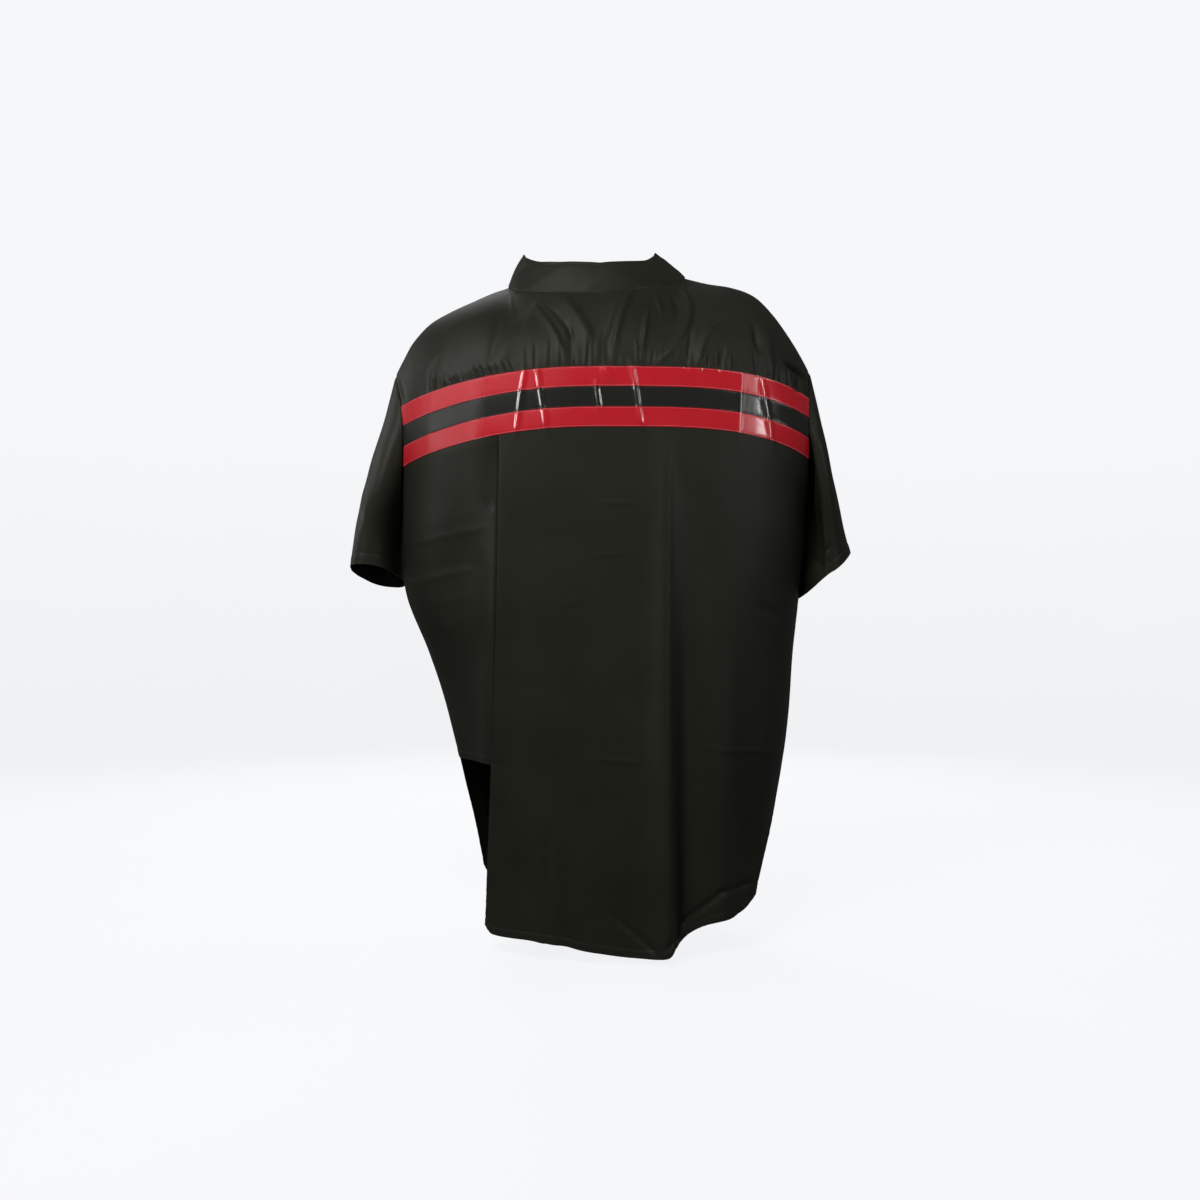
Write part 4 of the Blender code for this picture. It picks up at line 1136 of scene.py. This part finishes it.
def build_sleeves():
    """Short set-in sleeves with turned-up hems."""
    for side, name, seed in ((LEFT, "sleeve_left", 51), (RIGHT, "sleeve_right", 52)):
        angles = np.linspace(0.0, 360.0, 181)[:-1]
        rows = graded(0.0, 1.0, 84, [(0.0, 0.02, 4.0), (1.0, 0.06, 2.0)])
        angle, down = np.meshgrid(angles, rows)
        base = sleeve_point(side, angle, down)
        centre = base.mean(axis=1, keepdims=True)
        normal = normals_of(base, base - centre, closed=True)
        run_down, run_across = runs(base)
        u, v = base[..., 1], base[..., 2]
        push = 0.0006 * rumple(u, v, 0.05, seed, 1.5) + seam_push(run_down)
        push += strokes(SLEEVE_CREASES, base[..., 0], v) * smooth(0.010, -0.020, u)
        push += hem_push(run_down[-1:] - run_down, run_across, seed + 3, band=SLEEVE_HEM)
        base = base + normal * push[..., None]
        keep_surface(name, base, normal)
        piece = cloth(name + "_cloth", base, CLOTH_WALL, CLOTH, closed=True)
        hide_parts(name)


TURNING_ROWS = 8
COLLAR_TOP_SEWING = 0.004


def build_collar():
    """The stand collar, its left end lapped over its right end, and its turning inside the neck."""
    ends = [(-COLLAR_END, 2.0, 2.0), (COLLAR_END, 2.0, 2.0)]
    angles = graded(-COLLAR_END, COLLAR_END, 260, ends)
    rows = np.concatenate([
        np.linspace(-1.0, 0.0, TURNING_ROWS + 1)[:-1],
        graded(0.0, 1.0, 24, [(0.0, 0.1, 1.5), (1.0, 0.1, 1.5)]),
    ])
    angle, up = np.meshgrid(angles, rows)
    base = collar_point(angle, up)
    stand = base[TURNING_ROWS:]
    normal = normals_of(stand, points(stand[..., 0], stand[..., 1], 0.0))
    run_down, run_across = runs(stand)
    to_top = run_down[-1:] - run_down
    push = 0.0003 * rumple(run_across, run_down, 0.03, 61, 1.5)
    push -= 0.00035 * np.exp(-(((to_top - COLLAR_TOP_SEWING) / 0.0009) ** 2))
    push *= smooth(0.0, 0.003, run_down)
    stand += normal * push[..., None]
    keep_surface("collar", stand, normal)
    wear = np.concatenate([np.zeros((TURNING_ROWS, len(angles))), 0.5 * np.exp(-to_top / 0.0015)])
    piece = cloth("collar_cloth", base, COLLAR_WALL, CLOTH, wear=wear)
    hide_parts("collar_stand")


# ---------------------------------------------------------------- sewing and buttons
RIBBON_SEWING = 0.0011
EDGE_SEWING = 0.002
NECK_SEWING = 0.0022
HOLE_REACH = 0.0078
HOLE_STEPS = 60


def build_sewing():
    """Rows of stitches along the ribbons, hems, collar and front edges, and the buttonholes."""
    top = CLOTH_WALL / 2 + STITCH_LIFT
    red, black, dark_ribbon = [], [], []
    for name, rows in (("ribbon_top", red), ("ribbon_middle", dark_ribbon), ("ribbon_bottom", red)):
        for from_end in (False, True):
            path = path_down(name, RIBBON_SEWING, None, from_end, RIBBON_THICK / 2 + STITCH_LIFT)
            rows.append((*path, RIBBON_PITCH))
    piece = stitches("ribbon_stitches", red, RED_THREAD_PAINTED_HIGHLIGHT, share=0.6, thick=0.0007)
    piece = stitches("ribbon_middle_stitches", dark_ribbon, THREAD)
    columns, rows, tail_column, vent_row = LAYOUT["lower_back"]
    tail = np.arange(len(columns)) >= tail_column
    grid, normal, run, _ = SURFACES["lower_back"]
    low = rows > 2.001
    black += [
        path_down("lower_back", HEM, tail, True, top),
        path_across("lower_back", HEM, low, True, lift=top),
        path_across("lower_back", HEM, low, start=tail_column, lift=top),
        path_at(grid, normal, run, run[vent_row] - HEM, ~tail, top),
    ]
    for name in ("front_left", "front_right"):
        columns, rows = LAYOUT[name]
        left = name == "front_left"
        black += [
            path_down(name, HEM, None, True, top),
            path_across(name, HEM, rows > 2.001, not left, lift=top),
            path_across(name, PLACKET, None, left, lift=top),
            path_across(name, EDGE_SEWING, None, left, lift=top),
        ]
    for name in ("sleeve_left", "sleeve_right"):
        path = path_down(name, SLEEVE_HEM, None, True, top)
        black.append([np.concatenate([part, part[:1]]) for part in path])
    for distance, from_end in ((COLLAR_TOP_SEWING, True), (NECK_SEWING, False)):
        black.append(path_down("collar", distance, None, from_end, COLLAR_WALL / 2 + STITCH_LIFT))
    piece = stitches("cloth_stitches", [(*path, HEM_PITCH) for path in black], THREAD)
    holes = []
    for place, normal in button_seats():
        down = np.cross(normal, (1.0, 0.0, 0.0))
        down = unit(down) * -np.sign(down[2])
        across = np.cross(down, normal)
        step = np.linspace(-HOLE_REACH, HOLE_REACH, HOLE_STEPS)
        sway = np.where(np.arange(HOLE_STEPS) % 2 == 0, 0.0004, 0.0017)
        for side in (-1.0, 1.0):
            path = place + down * step[:, None] + across * (side * sway)[:, None]
            path = path + normal * (CLOTH_WALL / 2 + 0.0002)
            holes.append((path, np.repeat(normal[None], HOLE_STEPS, 0), 0.0012))
    piece = stitches("buttonhole_stitches", holes, THREAD, pitch=0.0016, share=0.95, thick=0.0004)


def button_seats():
    """Where the buttons of the front sit, on the cloth of the left front, and their normals."""
    grid, normal = SURFACES["front_left"][:2]
    seats = []
    for i in range(BUTTON_COUNT):
        height = BUTTON_TOP - BUTTON_PITCH * i
        row = int(np.argmin(np.abs(grid[:, -1, 2] - height)))
        column = int(np.argmin(np.abs(grid[row, :, 0])))
        seats.append((grid[row, column], normal[row, column]))
    return seats


# Buttons: radius, width of the rim, radius of a hole, how far a hole is off the middle both ways,
# thickness of the plate, from the back of the plate to the middle of its CAD disc
BUTTON_RADIUS, BUTTON_RIM, HOLE_RADIUS, HOLE_OUT = 0.0056, 0.0015, 0.00085, 0.0014
PLATE_THICK, PLATE_BACK = 0.0013, 0.0010
THREAD_LIFT = 0.00155  # the threads cross this far off the back of the plate


def build_buttons():
    """Round four-hole buttons with a rolled rim, sewn on with threads."""
    radius, rim, out = BUTTON_RADIUS, BUTTON_RIM, HOLE_OUT
    seats = [("button_%d" % (i + 1), *seat) for i, seat in enumerate(button_seats())]
    grid, normal = SURFACES["collar"][:2]
    seats.append(("button_collar", grid[12, 4], normal[12, 4]))
    threads = []
    for node, _, facing in seats:
        low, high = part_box(node)
        middle = Vector([(a + b) / 2 for a, b in zip(low, high)])
        facing = Vector(facing)
        bm = bmesh.new()
        bmesh.ops.create_circle(bm, cap_ends=False, segments=48, radius=radius - rim * 0.7)
        for x, y in ((out, out), (-out, out), (-out, -out), (out, -out)):
            ring = bmesh.ops.create_circle(bm, cap_ends=False, segments=16, radius=HOLE_RADIUS)
            bmesh.ops.translate(bm, verts=ring["verts"], vec=(x, y, 0.0))
        bmesh.ops.triangle_fill(bm, use_beauty=True, use_dissolve=False, edges=bm.edges[:])
        plate = bmesh.ops.extrude_face_region(bm, geom=bm.faces[:])
        lifted = [v for v in plate["geom"] if isinstance(v, bmesh.types.BMVert)]
        bmesh.ops.translate(bm, verts=lifted, vec=(0.0, 0.0, PLATE_THICK))
        profile = []
        for n in range(17):
            turn = math.pi * n / 16
            high = 0.0010 + 0.0009 * math.sin(turn)
            profile.append((radius - rim / 2 - rim / 2 * math.cos(turn), high))
        profile += [(radius - 0.0003, 0.0004), (radius - 0.0009, 0.0), (radius - rim, 0.0)]
        turned(bm, profile, 48, closed=True)
        bmesh.ops.recalc_face_normals(bm, faces=bm.faces[:])
        turn = facing.to_track_quat("Z", "Y").to_matrix().to_4x4()
        turn.translation = middle - facing * PLATE_BACK
        bmesh.ops.transform(bm, matrix=turn, verts=bm.verts[:])
        mesh = finished(bm, node + "_disc")
        mesh.set_sharp_from_angle(angle=math.radians(40.0))
        disc = new_piece(node + "_disc", mesh, BUTTON)
        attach(disc, "root")
        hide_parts(node)
        across, up = turn.to_3x3() @ Vector((1, 0, 0)), turn.to_3x3() @ Vector((0, 1, 0))
        seat = turn.translation + facing * THREAD_LIFT
        for shift in (-0.0002, 0.0002):
            for sign in (-1.0, 1.0):
                a = seat + across * -out + up * (out * sign + shift)
                b = seat + across * out + up * (out * sign + shift)
                mid = (a + b) / 2 + facing * 0.0003
                a, b = a - facing * 0.0006, b - facing * 0.0006
                rise = [end * 0.7 + mid * 0.3 + facing * 0.0004 for end in (a, b)]
                path = np.array([a, rise[0], mid, rise[1], b])
                threads.append((path, np.repeat(np.array(facing)[None], 5, 0), 0.0040))
    piece = stitches("button_threads", threads, THREAD, pitch=0.0036, share=0.95, thick=0.0005)


# Lights: name, place, what they point at, width, height, spread, power, lights cloth, shines on it
LIGHTS = [
    ("window", (-0.50, -1.40, 0.85), (0.0, -0.1, -0.25), 0.9, 0.9, 120.0, 12.0, True, False),
    ("fill", (0.35, -2.2, -0.1), (0.0, -0.1, -0.3), 1.0, 0.7, 120.0, 2.0, True, False),
    ("key", (-1.46, -0.97, 0.50), (0.0, -0.1, -0.12), 0.22, 0.8, 110.0, 4.5, False, True),
    ("sheen", (-0.70, -1.05, 1.20), (0.0, -0.1, -0.1), 0.5, 0.5, 120.0, 3.0, False, True),
    ("strip right", (1.27, -1.13, 0.40), (0.0, -0.1, -0.2), 0.06, 0.9, 120.0, 2.4, False, True),
    ("front left", (-0.6, 2.0, 0.6), (0.0, 0.1, -0.3), 1.0, 1.0, 120.0, 13.0, True, False),
    ("front right", (0.5, 2.1, 0.0), (0.0, 0.1, -0.3), 1.0, 1.0, 120.0, 6.0, True, False),
    ("side left", (-1.9, 1.0, 0.3), (-0.2, 0.0, -0.3), 0.8, 0.9, 120.0, 4.0, True, False),
    ("side right", (1.9, 1.0, 0.3), (0.2, 0.0, -0.3), 0.8, 0.9, 120.0, 4.0, True, False),
    ("rim left", (-1.5, 0.8, 0.25), (-0.2, 0.0, -0.3), 0.5, 0.9, 110.0, 1.1, False, True),
    ("front sheen", (-0.5, 1.5, 1.3), (0.0, 0.1, -0.2), 0.8, 0.6, 120.0, 1.6, False, True),
]
WORLD = 0.08
FLOOR = -0.762
BEND, REACH, TOP = 1.2, 3.4, 4.2  # the curve of the backdrop, its radius and its top


def build_stage():
    """A pale floor that curves up into a wall all round, soft lights and a dim surround."""
    profile = [(r, FLOOR) for r in (0.0, 0.4, 1.0, REACH - BEND)]
    for n in range(1, 25):
        turn = math.pi / 2 * n / 24
        profile.append((REACH - BEND + BEND * math.sin(turn), FLOOR + BEND - BEND * math.cos(turn)))
    profile.append((REACH, TOP))
    bm = bmesh.new()
    turned(bm, profile, 96)
    bmesh.ops.remove_doubles(bm, verts=bm.verts, dist=1e-5)
    bmesh.ops.recalc_face_normals(bm, faces=bm.faces)
    paper, tree, shader = shader_of("backdrop paper")
    place = tree.nodes.new("ShaderNodeTexCoord").outputs["Object"]
    height = add(tree, "ShaderNodeSeparateXYZ", "Z", Vector=place)
    cloudy = noise(tree, place, Scale=3.0, Detail=2.0)
    dress(
        tree, shader, Base_Color=(0.10, 0.10, 0.10, 1.0), Roughness=0.9, Specular_IOR_Level=0.0,
        Emission_Color=mixed(tree, cloudy, (0.905, 0.913, 0.930, 1.0), (0.915, 0.923, 0.940, 1.0)),
        Emission_Strength=moved(tree, height, FLOOR, FLOOR + 1.0, 0.935, 0.995),
    )
    backdrop = new_piece("backdrop", finished(bm, "backdrop"), paper)
    backdrop.visible_glossy = False
    backdrop.visible_diffuse = False
    backdrop.visible_shadow = False
    for name, place, aim, width, height, spread, power, lit, shine in LIGHTS:
        light = bpy.data.lights.new(name, "AREA")
        light.shape = "RECTANGLE"
        light.size, light.size_y = width, height
        light.spread = math.radians(spread)
        light.energy = power
        lamp = bpy.data.objects.new(name, light)
        lamp.location = place
        way = Vector(aim) - Vector(place)
        lamp.rotation_euler = way.to_track_quat("-Z", "Y").to_euler()
        lamp.visible_camera = False
        lamp.visible_diffuse = lit
        lamp.visible_glossy = shine
        bpy.context.scene.collection.objects.link(lamp)
    world = bpy.data.worlds.new("studio")
    world.use_nodes = True
    surround = world.node_tree.nodes["Background"]
    dress(world.node_tree, surround, Color=(0.95, 0.97, 1.0, 1.0), Strength=WORLD)
    bpy.context.scene.world = world
    bpy.context.scene.view_settings.view_transform = "Standard"


build_yoke()
build_lower_back()
build_ribbons()
build_fronts()
build_sleeves()
build_collar()
build_sewing()
build_buttons()
build_stage()
